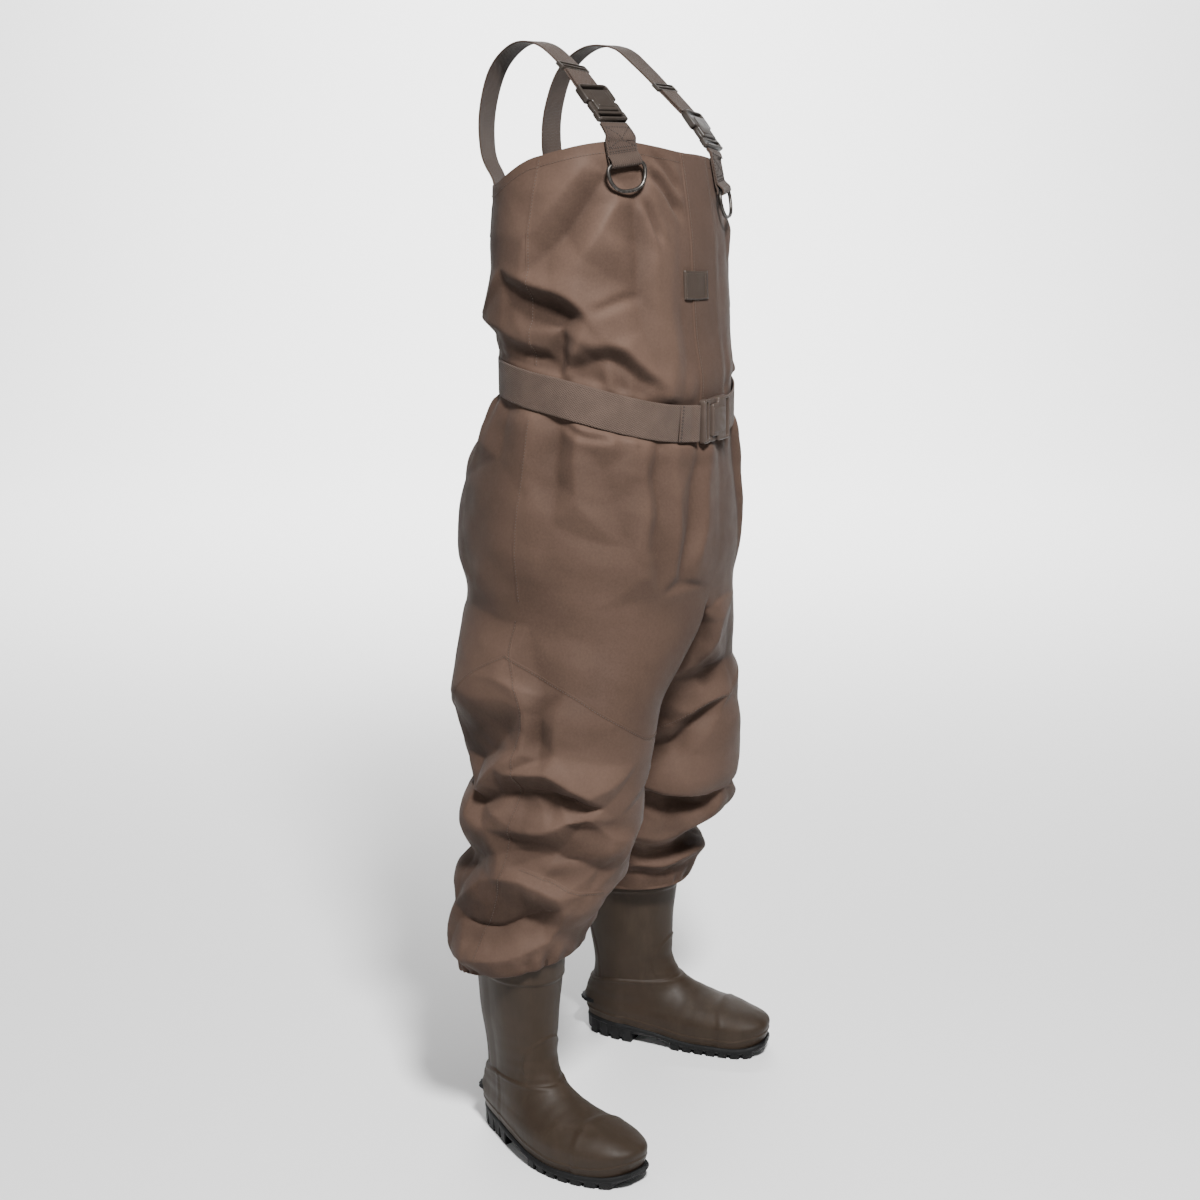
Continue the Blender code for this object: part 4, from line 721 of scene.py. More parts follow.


# Creases, listed as lines of turn, level and push in millimetres; the cloth is flat between neighbouring lines
legBackCreases = [
    [(160, 0.630, 5), (180, 0.620, 7), (205, 0.628, 5)],
    [(162, 0.598, -5), (182, 0.588, -9), (206, 0.598, -6)],
    [(170, 0.548, 4), (195, 0.545, 6), (215, 0.550, 4)],
    [(172, 0.478, -5), (195, 0.470, -8), (215, 0.478, -5)],
    [(165, 0.400, 5), (190, 0.395, 7), (212, 0.402, 5)],
    [(165, 0.352, -5), (190, 0.345, -7), (212, 0.352, -5)],
]
creases = {
    "torso": [
        [(-50, 1.366, -4), (-63, 1.324, -9), (-76, 1.287, -10), (-86, 1.262, -5)],
        [(-66, 1.372, 3), (-82, 1.322, 5), (-93, 1.280, 5)],
        [(-47, 1.325, 3), (-57, 1.290, 5), (-68, 1.258, 4)],
        [(-37, 1.328, -3), (-38, 1.281, -6), (-37, 1.228, -4), (-38, 1.185, -1)],
        [(-30, 1.315, 2), (-29, 1.259, 4), (-28, 1.197, 4), (-31, 1.130, 3)],
        [(-21, 1.225, 3), (-23, 1.165, 5), (-26, 1.118, 4)],
        [(-13, 1.300, -1), (-13, 1.216, -2), (-14, 1.160, -2), (-16, 1.118, -1)],
        [(-110, 1.240, 3), (-96, 1.230, 7), (-84, 1.219, 9), (-74, 1.209, 10), (-67, 1.199, 7)],
        [(-108, 1.222, -3), (-94, 1.210, -8), (-83, 1.201, -10), (-75, 1.192, -9)],
        [(-104, 1.188, -5), (-90, 1.180, -9), (-79, 1.172, -9), (-78, 1.150, -8), (-80, 1.122, -5)],
        [(-67, 1.190, 5), (-70, 1.166, 7), (-73, 1.144, 6), (-76, 1.122, 3)],
        [(-68, 1.154, 3), (-58, 1.162, 6), (-48, 1.156, 7), (-38, 1.142, 5), (-32, 1.130, 2)],
        [(-70, 1.128, -5), (-62, 1.136, -9), (-54, 1.138, -11)]
        + [(-46, 1.134, -10), (-38, 1.126, -6), (-33, 1.119, -2)],
        [(-110, 1.150, 3), (-96, 1.148, 4), (-88, 1.140, 3)],
        [(-112, 1.128, -3), (-98, 1.128, -4)],
        [(-40, 1.048, 3), (-39, 1.000, 4), (-38, 0.921, 4), (-37, 0.830, 2)],
        [(-33, 1.048, -3), (-33, 1.000, -4), (-32, 0.921, -4), (-31, 0.830, -2)],
        [(-22, 1.048, 2), (-22, 0.954, 3), (-21, 0.830, 2)],
        [(-9, 1.040, -2), (-13, 0.950, -5), (-15, 0.880, -6), (-16, 0.815, -4)],
        [(-2, 1.045, 2), (-4, 0.984, 4), (-6, 0.920, 5), (-7, 0.860, 4), (-8, 0.815, 2)],
        [(7, 1.045, -2), (6, 0.960, -3), (4, 0.880, -2)],
        [(-82, 1.047, -6), (-81, 1.011, -7), (-80, 0.965, -5), (-79, 0.910, -2)],
        [(-72, 1.040, 5), (-72, 1.000, 5), (-70, 0.950, 3)],
        [(-92, 1.040, 4), (-92, 0.990, 4), (-90, 0.940, 2)],
        [(-57, 1.000, -1), (-51, 0.950, -3), (-45, 0.880, -2)],
        [(45, 1.330, -4), (62, 1.300, -6), (84, 1.262, -4)],
        [(60, 1.335, 4), (84, 1.298, 4)],
        [(42, 1.285, 4), (60, 1.258, 4)],
        [(106, 1.222, 6), (90, 1.218, 9), (76, 1.206, 9), (66, 1.196, 4)],
        [(104, 1.200, -6), (88, 1.196, -9), (74, 1.188, -6)],
        [(76, 1.126, -4), (64, 1.140, -8), (52, 1.142, -8), (40, 1.130, -3)],
        [(70, 1.116, 5), (56, 1.122, 7), (44, 1.116, 4)],
        [(38, 1.045, 5), (37, 0.980, 6), (35, 0.880, 4)],
        [(33, 1.045, -4), (32, 0.980, -5), (31, 0.880, -3)],
        [(80, 1.045, -5), (80, 0.990, -6), (78, 0.930, -3)],
        [(70, 1.040, 4), (70, 0.970, 4)],
        [(92, 1.040, 4), (91, 0.970, 3)],
        [(32, 1.300, -3), (34, 1.240, -4), (36, 1.190, -2)],
        [(128, 1.160, 7), (150, 1.172, 8), (175, 1.165, 8), (200, 1.170, 7), (228, 1.158, 6)],
        [(126, 1.135, -6), (150, 1.145, -8), (176, 1.138, -8), (202, 1.146, -7), (230, 1.134, -6)],
        [(140, 1.300, -4), (146, 1.240, -6), (150, 1.200, -3)],
        [(220, 1.300, -4), (214, 1.240, -6), (210, 1.200, -3)],
        [(178, 1.310, -3), (181, 1.260, -5), (179, 1.215, -3)],
        [(112, 1.040, -5), (108, 0.985, -5), (106, 0.930, -2)],
        [(-112, 1.040, -3), (-110, 0.985, -3)],
        [(135, 1.040, 4), (133, 0.985, 4)],
        [(150, 1.040, -5), (147, 0.990, -6), (142, 0.940, -3)],
        [(162, 1.040, 4), (161, 0.990, 5)],
        [(175, 1.042, -5), (177, 0.985, -6), (178, 0.930, -3)],
        [(193, 1.040, 4), (194, 0.990, 5)],
        [(210, 1.040, -5), (213, 0.985, -6), (218, 0.935, -3)],
        [(226, 1.040, 4), (229, 0.985, 4)],
        [(128, 0.870, 3), (152, 0.855, 5), (176, 0.845, 5), (202, 0.855, 4)],
        [(132, 0.845, -3), (152, 0.828, -5), (178, 0.820, -5), (203, 0.828, -3)],
    ],
    right: [
        [(150, 0.645, 4), (130, 0.664, 9), (111, 0.690, 12), (100, 0.688, 12), (91, 0.678, 10), (85, 0.656, 5)],
        [(93, 0.616, -8), (104, 0.588, -13), (120, 0.570, -15), (145, 0.572, -8)],
        [(155, 0.512, 6), (130, 0.530, 7), (112, 0.552, 8), (98, 0.574, 6), (90, 0.568, 6)]
        + [(74, 0.572, 9), (59, 0.552, 12), (46, 0.540, 11), (32, 0.525, 3)],
        [(120, 0.515, -4), (101, 0.535, -8), (86, 0.543, -10), (72, 0.540, -12), (55, 0.531, -11), (42, 0.523, -5)],
        [(85, 0.486, 2), (70, 0.498, 8), (57, 0.506, 11), (40, 0.513, 9), (22, 0.508, 3)],
        [(77, 0.478, -3), (61, 0.468, -10), (43, 0.450, -11), (23, 0.434, -6), (5, 0.426, 0)],
        [(112, 0.404, 3), (95, 0.410, 6), (80, 0.414, 9), (64, 0.409, 12), (47, 0.399, 12)],
        [(135, 0.362, -4), (118, 0.354, -10), (98, 0.348, -14), (80, 0.350, -15), (64, 0.362, -13), (53, 0.376, -5)],
        [(41, 0.385, 8), (34, 0.350, 7), (36, 0.329, 7), (57, 0.318, 9)]
        + [(82, 0.305, 9), (108, 0.290, 8), (135, 0.284, 5)],
        [(47, 0.372, -5), (43, 0.347, -5)],
        [(79, 0.684, 0), (77, 0.657, -5), (75, 0.620, -7), (75, 0.590, -4)],
        [(82, 0.630, 4), (82, 0.600, 5)],
        [(69, 0.690, 1), (67, 0.640, 3), (66, 0.600, 3)],
        [(101, 0.509, 5), (107, 0.482, 4)],
        [(88, 0.470, -5), (87, 0.454, -6), (86, 0.432, -3)],
        [(150, 0.425, -4), (138, 0.424, -5), (115, 0.436, -5), (99, 0.443, -2)],
        [(128, 0.490, 6), (132, 0.465, 4)],
        [(20, 0.640, 0), (10, 0.580, 2)],
        [(20, 0.475, 4), (5, 0.465, 4)],
        [(25, 0.400, 3), (10, 0.385, 4)],
        [(-40, 0.650, 3), (-80, 0.640, 6), (-120, 0.650, 5)],
        [(-50, 0.625, -3), (-90, 0.612, -6), (-130, 0.622, -5)],
        [(-20, 0.560, 3), (-50, 0.555, 7), (-90, 0.548, 8), (-130, 0.556, 6)],
        [(-25, 0.535, -3), (-60, 0.527, -7), (-100, 0.522, -8), (-135, 0.530, -5)],
        [(-15, 0.470, 2), (-45, 0.480, 7), (-85, 0.470, 8), (-125, 0.480, 6)],
        [(-20, 0.448, -3), (-55, 0.452, -8), (-95, 0.444, -8), (-135, 0.452, -5)],
        [(-10, 0.395, 3), (-45, 0.402, 8), (-90, 0.392, 9), (-130, 0.400, 6)],
        [(-20, 0.368, -4), (-60, 0.370, -8), (-100, 0.362, -8), (-140, 0.370, -5)],
        [(-5, 0.335, 4), (-50, 0.328, 7), (-95, 0.318, 7), (-140, 0.318, 5)],
        *legBackCreases,
    ],
    left: [
        [(3, 0.765, 3), (2, 0.741, 7), (-9, 0.708, 8), (-21, 0.684, 7), (-31, 0.667, 4)],
        [(-20, 0.762, -4), (-27, 0.738, -8), (-34, 0.704, -6)],
        [(-31, 0.645, -4), (-19, 0.650, -9), (-1, 0.656, -7)],
        [(-50, 0.573, 2), (-37, 0.588, 6), (-24, 0.600, 8), (-6, 0.608, 8), (5, 0.614, 4)],
        [(-61, 0.535, -5), (-47, 0.547, -10), (-34, 0.565, -9), (-23, 0.581, -3)],
        [(-66, 0.498, 4), (-47, 0.515, 6), (-30, 0.539, 7), (-15, 0.572, 6)],
        [(-74, 0.470, 7), (-58, 0.467, 11), (-42, 0.466, 12), (-21, 0.458, 11), (0, 0.455, 8), (25, 0.466, 6)],
        [(-70, 0.448, -8), (-49, 0.441, -12), (-37, 0.440, -12), (-22, 0.430, -7)],
        [(-65, 0.370, 3), (-52, 0.385, 7), (-33, 0.400, 9), (-18, 0.402, 6)],
        [(-56, 0.332, -4), (-38, 0.347, -9), (-16, 0.350, -11), (-3, 0.351, -9), (20, 0.352, -9), (45, 0.358, -6)],
        [(-60, 0.314, 3), (-35, 0.325, 6), (-10, 0.332, 6), (20, 0.330, 5)],
        [(-74, 0.290, -7), (-54, 0.300, -8), (-29, 0.305, -7), (-8, 0.302, -3)],
        [(150, 0.640, 2), (125, 0.662, 6), (105, 0.690, 9), (88, 0.668, 6)],
        [(95, 0.614, -6), (112, 0.582, -10), (140, 0.575, -6)],
        [(150, 0.520, 6), (118, 0.548, 8), (95, 0.570, 7), (70, 0.568, 9), (48, 0.542, 6)],
        [(120, 0.515, -5), (98, 0.532, -9), (72, 0.538, -10), (52, 0.522, -5)],
        [(95, 0.486, 5), (70, 0.494, 8), (45, 0.492, 6)],
        [(92, 0.462, -5), (66, 0.458, -9), (40, 0.448, -5)],
        [(118, 0.402, 4), (95, 0.410, 8), (70, 0.408, 9), (48, 0.398, 6)],
        [(130, 0.368, -6), (100, 0.362, -10), (72, 0.362, -8)],
        [(45, 0.325, 6), (60, 0.315, 7), (95, 0.308, 8), (130, 0.300, 6)],
        [(150, 0.430, -6), (122, 0.438, -6)],
        [(-85, 0.640, 5), (-120, 0.650, 5)],
        [(-90, 0.612, -6), (-130, 0.622, -5)],
        [(-85, 0.552, 6), (-130, 0.556, 5)],
        [(-85, 0.522, -6), (-130, 0.528, -5)],
        [(-95, 0.470, 7), (-130, 0.478, 6)],
        [(-95, 0.444, -8), (-135, 0.452, -5)],
        [(-90, 0.392, 8), (-130, 0.400, 6)],
        [(-90, 0.352, -8), (-135, 0.362, -5)],
        *legBackCreases,
    ],
}
# girth, lowest and highest level, and how strongly the lines are pressed
creaseReach = {
    "torso": (1.15, 0.80, 1.385, 1.35),
    right: (0.60, 0.268, 0.77, 1.40),
    left: (0.60, 0.268, 0.77, 1.35),
}
smallCreases = [  # line, half width and depth
    ([(-32, 1.335), (-24, 1.275)], 0.0070, 0.0075),
    ([(-30, 1.374), (-18, 1.342), (-9, 1.300)], 0.009, 0.0080),
    ([(-27, 1.395), (-17, 1.370), (-8, 1.330)], 0.009, 0.0075),
    ([(-66, 1.193), (-49, 1.213), (-35, 1.221)], 0.0075, 0.0035),
    ([(-82, 1.053), (-77, 1.046), (-70, 1.038), (-60, 1.041), (-51, 1.052)], 0.006, 0.0040),
]


def creasePush(where, turn, level, warp):
    girth, low, high, gain = creaseReach[where]
    spots, pushes, edges = [], [], []
    calm = [[(a, edge, 0)] for a in range(-180, 180, 30) for edge in (low, high)]
    for line in creases[where] + calm:
        for shift in (-360, 0, 360):
            for k, (a, z, push) in enumerate(line):
                if k:
                    edges.append((len(spots) - 1, len(spots)))
                spots.append(Vector(((a + shift) / 360 * girth, z)))
                pushes.append(push * 0.001 * gain)
    corners, _, triangles, origins, _, _ = delaunay_2d_cdt(spots, edges, [], 0, 1e-5)
    height = np.array([np.mean([pushes[k] for k in known]) if known else 0.0 for known in origins])
    corners = np.array([tuple(corner) for corner in corners])
    place = np.stack([turn / 360 * girth, level], axis=-1) + warp
    result = np.zeros(len(place))
    for triangle in triangles:
        a, b, c = corner = corners[list(triangle)]
        inBox = (place >= corner.min(axis=0)) & (place <= corner.max(axis=0))
        near = np.where(inBox.all(axis=1))[0]
        frameOf = np.array([b - a, c - a]).T
        if not len(near) or abs(np.linalg.det(frameOf)) < 1e-12:
            continue
        share = (place[near] - a) @ np.linalg.inv(frameOf).T
        inside = (share >= -1e-6).all(axis=1) & (share.sum(axis=1) <= 1 + 1e-6)
        values = height[list(triangle)]
        result[near[inside]] = values[0] + share[inside] @ (values[1:] - values[0])
    return result


def smallCrease(points, path, width, depth):
    push = np.zeros(len(points))
    margin = 4 * width
    inBox = (points > path.min(axis=0) - margin) & (points < path.max(axis=0) + margin)
    near = np.where(inBox.all(axis=1))[0]
    best = np.full(len(near), 1e9)
    along = np.zeros(len(near))
    lengths = np.linalg.norm(np.diff(path, axis=0), axis=1)
    passed = lengthAlong(path)
    for k, (a, b) in enumerate(zip(path, path[1:])):
        way = (b - a) / lengths[k]
        t = np.clip((points[near] - a) @ way, 0, lengths[k])
        distance = np.linalg.norm(points[near] - (a + t[:, None] * way), axis=1)
        along = np.where(distance < best, (passed[k] + t) / passed[-1], along)
        best = np.minimum(best, distance)
    endShare = 0.25
    fade = np.clip(along / endShare, 0, 1) * np.clip((1 - along) / endShare, 0, 1)
    # a groove with a low lip on either side
    push[near] = depth * fade * np.interp(best / width, [0, 1.4, 3.6], [-1, 0.35, 0])
    return push


def waveNoise(points, seed, size, waves=20, flat=False):
    # triangle waves in a few directions leave flat facets with crisp edges
    chance = np.random.default_rng(seed)
    total = np.zeros(len(points))
    for _ in range(waves):
        way = unit(chance.normal(size=3)) / (size * chance.uniform(0.7, 1.5))
        phase = points @ way + chance.uniform()
        total += 4 * np.abs(phase % 1 - 0.5) - 1 if flat else np.cos(2 * pi * phase)
    return total / np.sqrt(waves / (3 if flat else 2))


gatherLook = {"count": 30, "wander": 2.2, "wanderWaves": (2, 3, 5, 7), "beats": 5, "reach": 0.030, "seed": 3}


def beltGather(turn, away):
    look = gatherLook
    chance = np.random.default_rng(look["seed"])
    angle = np.radians(turn)
    wander = sum(np.sin(angle * k + chance.uniform(0, 6.28)) / k for k in look["wanderWaves"])
    strength = 0.5 + 0.5 * np.sin(angle * look["beats"] + chance.uniform(0, 6.28) + wander)
    return np.cos(angle * look["count"] + look["wander"] * wander) * strength * np.exp(-np.abs(away) / look["reach"])


presses = [  # where webbing lies on the cloth: turn, half width, lowest level
    (-43, 11, 1.355),
    (21.5, 12, 1.315),
    (160, 11, 1.262),
    (-160, 11, 1.262),
]
foldLook = {
    "forkReach": 0.045, "underForkReach": 0.05, "underForkSpan": (0.62, 0.80), "forkRelax": 0.5, "forkRounds": 24,
    "warpSize": 0.10, "warp": 0.0028, "warpSeeds": (41, 42), "broadCrumple": 0.0019, "broadSize": 0.20,
    "broadStretch": (1, 1, 0.55), "broadSeed": 5, "broadLow": (0.45, 0.55), "fineCrumple": 0.0017, "fineSize": 0.10,
    "fineStretch": (1, 1, 1.4), "fineSeed": 8, "fineSides": (0.4, 0.6), "waves": 6, "lowLegs": 0.66, "lowFade": 0.2,
    "lowShares": (0.35, 0.65), "gather": 0.0030, "gatherFrom": 0.027,
    "beltHalf": 0.034, "beltFade": 0.010, "beltPress": 0.0022, "stand": 0.0020, "standAt": 0.046,
    "standReach": 0.016, "flapHalf": 12.5, "flapTurn": 2.0, "flapLow": 1.095, "flapPress": 0.0006,
    "flapCalm": 0.75, "turnFade": 4.0, "levelFade": 0.012, "webPress": 0.0012, "webCalm": 0.9, "edgeFade": 0.05,
    "edgeLeast": 0.25, "cuffRise": 0.004, "cuffReach": 0.016, "pleat": 0.0030, "pleatCount": 17,
    "pleatWander": 1.6, "pleatShares": (0.6, 0.4), "rollOut": 0.5, "rollTuck": 0.7, "rollSpan": 0.4,
    # the last two: how the fold's depth and the turn under its lips become painted shade and painted light
    "tuckIn": 0.0015, "tuckPleat": 0.0011, "rimMost": 0.001, "soften": 0.25, "paintedShadePush": 0.015, "paintedShadeLip": 1.7,
}


def beltAndPresses(push, torso, turn, level):
    look = foldLook
    # the belt draws the cloth in, and it stands out above and below
    fromBelt = np.abs(level - beltLevel)
    push = push + np.where(torso, look["gather"] * beltGather(turn, fromBelt - look["gatherFrom"]), 0)
    inBelt = ease((look["beltHalf"] - fromBelt) / look["beltFade"]) * torso
    stand = np.exp(-(((fromBelt - look["standAt"]) / look["standReach"]) ** 2)) * torso
    push = push * (1 - inBelt) + look["stand"] * stand - look["beltPress"] * inBelt
    # the flap and the webbing keep the cloth under them flat
    flap = ease((look["flapHalf"] - np.abs(turn - look["flapTurn"])) / look["turnFade"]) * torso
    flap = flap * ease((level - look["flapLow"]) / look["levelFade"])
    push = push * (1 - look["flapCalm"] * flap) - look["flapPress"] * flap
    for pressTurn, half, lowest in presses:
        under = ease((half - np.abs((turn - pressTurn + 180) % 360 - 180)) / look["turnFade"]) * torso
        under = under * ease((level - lowest) / look["levelFade"])
        push = push * (1 - look["webCalm"] * under) - look["webPress"] * under
    fromEdge = bibEdge(np.radians(turn)) - level
    calm = ease(fromEdge / look["edgeFade"]) * (1 - look["edgeLeast"]) + look["edgeLeast"]
    return push * np.where(torso, calm, 1.0)


def cuffGathers(push, side, leg, turn, height, roll):
    look = foldLook
    angle = np.radians(turn)
    cuff = leg * np.exp(-(((height - (hemHeight(side, angle) + look["cuffRise"])) / look["cuffReach"]) ** 2))
    wander = np.sin(3 * angle + 0.7 * side) + 0.6 * np.sin(5 * angle + 2.0)
    steady, beat = look["pleatShares"]
    pleat = np.cos(look["pleatCount"] * angle + look["pleatWander"] * wander)
    pleat = pleat * (steady + beat * np.sin(4 * angle + side))
    push = push + cuff * look["pleat"] * pleat * (1 - ease(roll / look["rollOut"]))
    rolled = leg & (roll > 0)
    tucked = np.maximum(push * (1 - ease(roll / look["rollTuck"])), -look["tuckIn"] * (1 - roll))
    push = np.where(rolled, tucked, push)
    return push + rolled * ease((roll - look["rollOut"]) / look["rollSpan"]) * look["tuckPleat"] * (1 + pleat)


def foldedShell():
    look = foldLook
    points, faces, region, turn, level, roll = shellGrid()
    open_ = np.zeros(len(points), bool)
    single, count = np.unique(np.sort(edgesOf(faces), axis=1), axis=0, return_counts=True)
    open_[single[count == 1].ravel()] = True
    # the fork is rounded first
    x, z = points[:, 0], points[:, 2]
    lowest, highest = look["underForkSpan"]
    nearFork = np.exp(-(((z - forkLevel) / look["forkReach"]) ** 2))
    underFork = np.exp(-((x / look["underForkReach"]) ** 2)) * ((z > lowest) & (z < highest))
    weight = np.where(open_, 0, look["forkRelax"] * np.maximum(nearFork, underFork))
    base = relax(points, faces, weight, look["forkRounds"])
    normals = vertexNormals(base, faces)
    push = np.zeros(len(base))
    torso = region == 0
    warp = np.stack([waveNoise(base, seed, look["warpSize"]) for seed in look["warpSeeds"]], axis=-1) * look["warp"]
    for where, code in (("torso", 0), *legCodes):
        mine = region == code
        push[mine] = creasePush(where, turn[mine], level[mine], warp[mine])
    for path, width, depth in smallCreases:
        line = smoothPath([torsoPoint(radians(a), z) for a, z in path], 6)
        push += smallCrease(base, line, width, depth) * torso
    # small crumples, more of them low on the legs
    least, more = look["lowShares"]
    low = least + more * ease((look["lowLegs"] - base[:, 2]) / look["lowFade"])
    least, more = look["fineSides"]
    sides = least + more * np.abs(np.sin(np.radians(turn)))
    least, more = look["broadLow"]
    broad = waveNoise(base * look["broadStretch"], look["broadSeed"], look["broadSize"], look["waves"], True)
    fine = waveNoise(base * look["fineStretch"], look["fineSeed"], look["fineSize"], look["waves"], True)
    push += look["broadCrumple"] * broad * (least + more * low)
    push += look["fineCrumple"] * fine * low * sides
    push = beltAndPresses(push, torso, turn, level)
    for side, code in legCodes:
        push = cuffGathers(push, side, region == code, turn, base[:, 2], roll)
    push = np.where(open_, np.clip(push, -look["rimMost"], look["rimMost"]), push)
    points = relax(base + normals * push[:, None], faces, np.where(open_, 0, look["soften"]), 1)
    points = keepOffBoots(points, region)
    # painted shade in the hollows and under the lips, where the cloth turns downwards, and painted light on the ridges,
    # kept as a colour attribute
    lip = vertexNormals(points, faces)[:, 2] - normals[:, 2]
    paintedShade = push / look["paintedShadePush"] + look["paintedShadeLip"] * lip
    return points, faces, region, turn, np.clip(paintedShade, -1, 1)


bootGuard = {"columns": 96, "rows": 30, "levels": (0.20, 0.32), "top": 0.318, "out": 0.0026, "clear": 0.0009}


def keepOffBoots(points, region):
    rows, columns, clear = bootGuard["rows"], bootGuard["columns"], bootGuard["clear"]
    turns = np.arange(columns) * 2 * pi / columns
    levels = np.linspace(*bootGuard["levels"], rows)
    for side, code in legCodes:
        grid = np.array([bootPoint(side, turns, np.full(columns, level), bootGuard["out"]) for level in levels])
        faces = gridFaces(rows, columns)
        boot = treeOf(grid.reshape(-1, 3), faces[:, ::-1] if side == left else faces)
        for k in np.where((region == code) & (points[:, 2] < bootGuard["top"]))[0]:
            place, normal, _, _ = boot.find_nearest(Vector(points[k]))
            if (Vector(points[k]) - place).dot(normal) < clear:
                points[k] = np.array(place + normal * clear)
    return points


bodyPoints, bodyFaces, bodyRegion, bodyTurn, bodyPaintedShade = foldedShell()
bodyNormals = vertexNormals(bodyPoints, bodyFaces)
torsoRadius, legRadius = 0.185, 0.115
ringRadius = np.where(bodyRegion == 0, torsoRadius, legRadius)
bodyUv = np.stack([np.radians(bodyTurn) * ringRadius, bodyPoints[:, 2]], axis=-1)
body = makePiece("wader_shell", bodyPoints, bodyFaces, wovenCloth, uv=bodyUv)
# the shell's colour attribute: painted shade in the hollows and under lips, painted light on the ridges
setAttribute(body, "paintedFoldShade", bodyPaintedShade)
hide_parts("wader_body")
bodyTree = treeOf(bodyPoints, bodyFaces)
print("cloth shell", len(bodyFaces) * 2, "triangles")

# The inner face, turned over the bib's edge and the cuffs
innerPoints = bodyPoints - bodyNormals * shell["wall"]
edgePairs = edgesOf(bodyFaces)
_, firstAt, pairCount = np.unique(np.sort(edgePairs, axis=1), axis=0, return_index=True, return_counts=True)
rim = edgePairs[firstAt[pairCount == 1]]
rimFaces = np.column_stack([rim[:, ::-1], rim + len(bodyPoints)])
liningPoints = np.concatenate([bodyPoints, innerPoints])
liningFaces = np.concatenate([bodyFaces[:, ::-1] + len(bodyPoints), rimFaces])
used = np.unique(liningFaces)
remap = np.zeros(len(liningPoints), int)
remap[used] = np.arange(len(used))
liningUv = np.concatenate([bodyUv, bodyUv])[used]
makePiece("wader_lining", liningPoints[used], remap[liningFaces], liningCloth, uv=liningUv)
print("lining made")


castReach = 0.05


def seatOn(points, outwards, clear):
    seated = []
    for place, way in zip(np.asarray(points, float), np.asarray(outwards, float)):
        hit = bodyTree.ray_cast(Vector(place + way * castReach), Vector(-way), 2 * castReach)[0]
        seated.append(np.array(hit) + way * clear if hit else place)
    return np.array(seated)


def facing(place, turn, level, turnStep, levelStep):
    ahead = place(turn + turnStep, level) - place(turn - turnStep, level)
    rise = place(turn, level + levelStep) - place(turn, level - levelStep)
    return unit(np.cross(ahead, rise))


def torsoWay(turn, level):
    return facing(torsoPoint, turn, level, turnStep=0.02, levelStep=0.01)


def legWay(side, turn, z):
    place = lambda a, height: legPoint(side, a, height)
    return facing(place, turn, z, turnStep=0.03, levelStep=0.006) * side


# Stitch rows, made with Geometry Nodes along lines of points

def stitchTree():
    tree = bpy.data.node_groups.new("stitchRow", "GeometryNodeTree")
    face = tree.interface
    face.new_socket("Line", in_out="INPUT", socket_type="NodeSocketGeometry")
    for name in ("Pitch", "Stitch Length", "Stitch Width"):
        face.new_socket(name, in_out="INPUT", socket_type="NodeSocketFloat")
    face.new_socket("Thread", in_out="INPUT", socket_type="NodeSocketMaterial")
    face.new_socket("Stitches", in_out="OUTPUT", socket_type="NodeSocketGeometry")
    given = node(tree, "NodeGroupInput")
    line = node(tree, "GeometryNodeMeshToCurve", {0: given.outputs["Line"]})
    keys = {"Curve": line.outputs[0], "Length": given.outputs["Pitch"]}
    spaced = node(tree, "GeometryNodeResampleCurve", keys, mode="LENGTH")
    bead = node(tree, "GeometryNodeMeshUVSphere", {"Segments": 6, "Rings": 4, "Radius": 0.5})
    long, wide = given.outputs["Stitch Length"], given.outputs["Stitch Width"]
    size = node(tree, "ShaderNodeCombineXYZ", {0: long, 1: wide, 2: wide})
    tangent = node(tree, "GeometryNodeInputTangent")
    way = node(tree, "GeometryNodeInputNamedAttribute", {"Name": "faceWay"}, data_type="FLOAT_VECTOR")
    along = node(tree, "FunctionNodeAlignRotationToVector", {"Vector": tangent.outputs[0]}, axis="X")
    keys = {"Rotation": along.outputs[0], "Vector": way.outputs[0]}
    upright = node(tree, "FunctionNodeAlignRotationToVector", keys, axis="Z", pivot_axis="X")
    keys = {"Points": spaced.outputs[0], "Instance": bead.outputs[0]}
    keys.update({"Rotation": upright.outputs[0], "Scale": size.outputs[0]})
    placed = node(tree, "GeometryNodeInstanceOnPoints", keys)
    real = node(tree, "GeometryNodeRealizeInstances", {0: placed.outputs[0]})
    round_ = node(tree, "GeometryNodeSetShadeSmooth", {"Geometry": real.outputs[0]})
    done = node(tree, "GeometryNodeSetMaterial", {"Geometry": round_.outputs[0], "Material": given.outputs["Thread"]})
    node(tree, "NodeGroupOutput", {0: done.outputs[0]})
    return tree


stitchNodes = stitchTree()
# lines of points with the way that the cloth or webbing faces, sewn all together at the end
stitchLines, webLines = [], []


def sewLine(points, outwards, rows=stitchLines):
    rows.append((np.asarray(points, float), np.asarray(outwards, float)))


def sewAll(name, rows, thread, pitch=0.0042, length=0.0030, width=0.0009):
    points, edges, ways = [], [], []
    for line, outwards in rows:
        start = len(points)
        points += line.tolist()
        ways += outwards.tolist()
        edges += [(start + k, start + k + 1) for k in range(len(line) - 1)]
    mesh = bpy.data.meshes.new(name)
    mesh.from_pydata((np.array(points) + frameShift).tolist(), edges, [])
    faceWay = mesh.attributes.new("faceWay", "FLOAT_VECTOR", "POINT")
    faceWay.data.foreach_set("vector", np.array(ways, np.float32).ravel())
    helper = linked(name + "Line", mesh)
    modifier = helper.modifiers.new("Stitches", "NODES")
    modifier.node_group = stitchNodes
    values = {"Pitch": pitch, "Stitch Length": length, "Stitch Width": width, "Thread": thread}
    for item in stitchNodes.interface.items_tree:
        if item.name in values:
            modifier[item.identifier] = values[item.name]
    piece = linked(name, plainMesh(helper))
    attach(piece, "garment")


# Lapped seams: one panel's edge lies over the next, with a row of stitches beside it

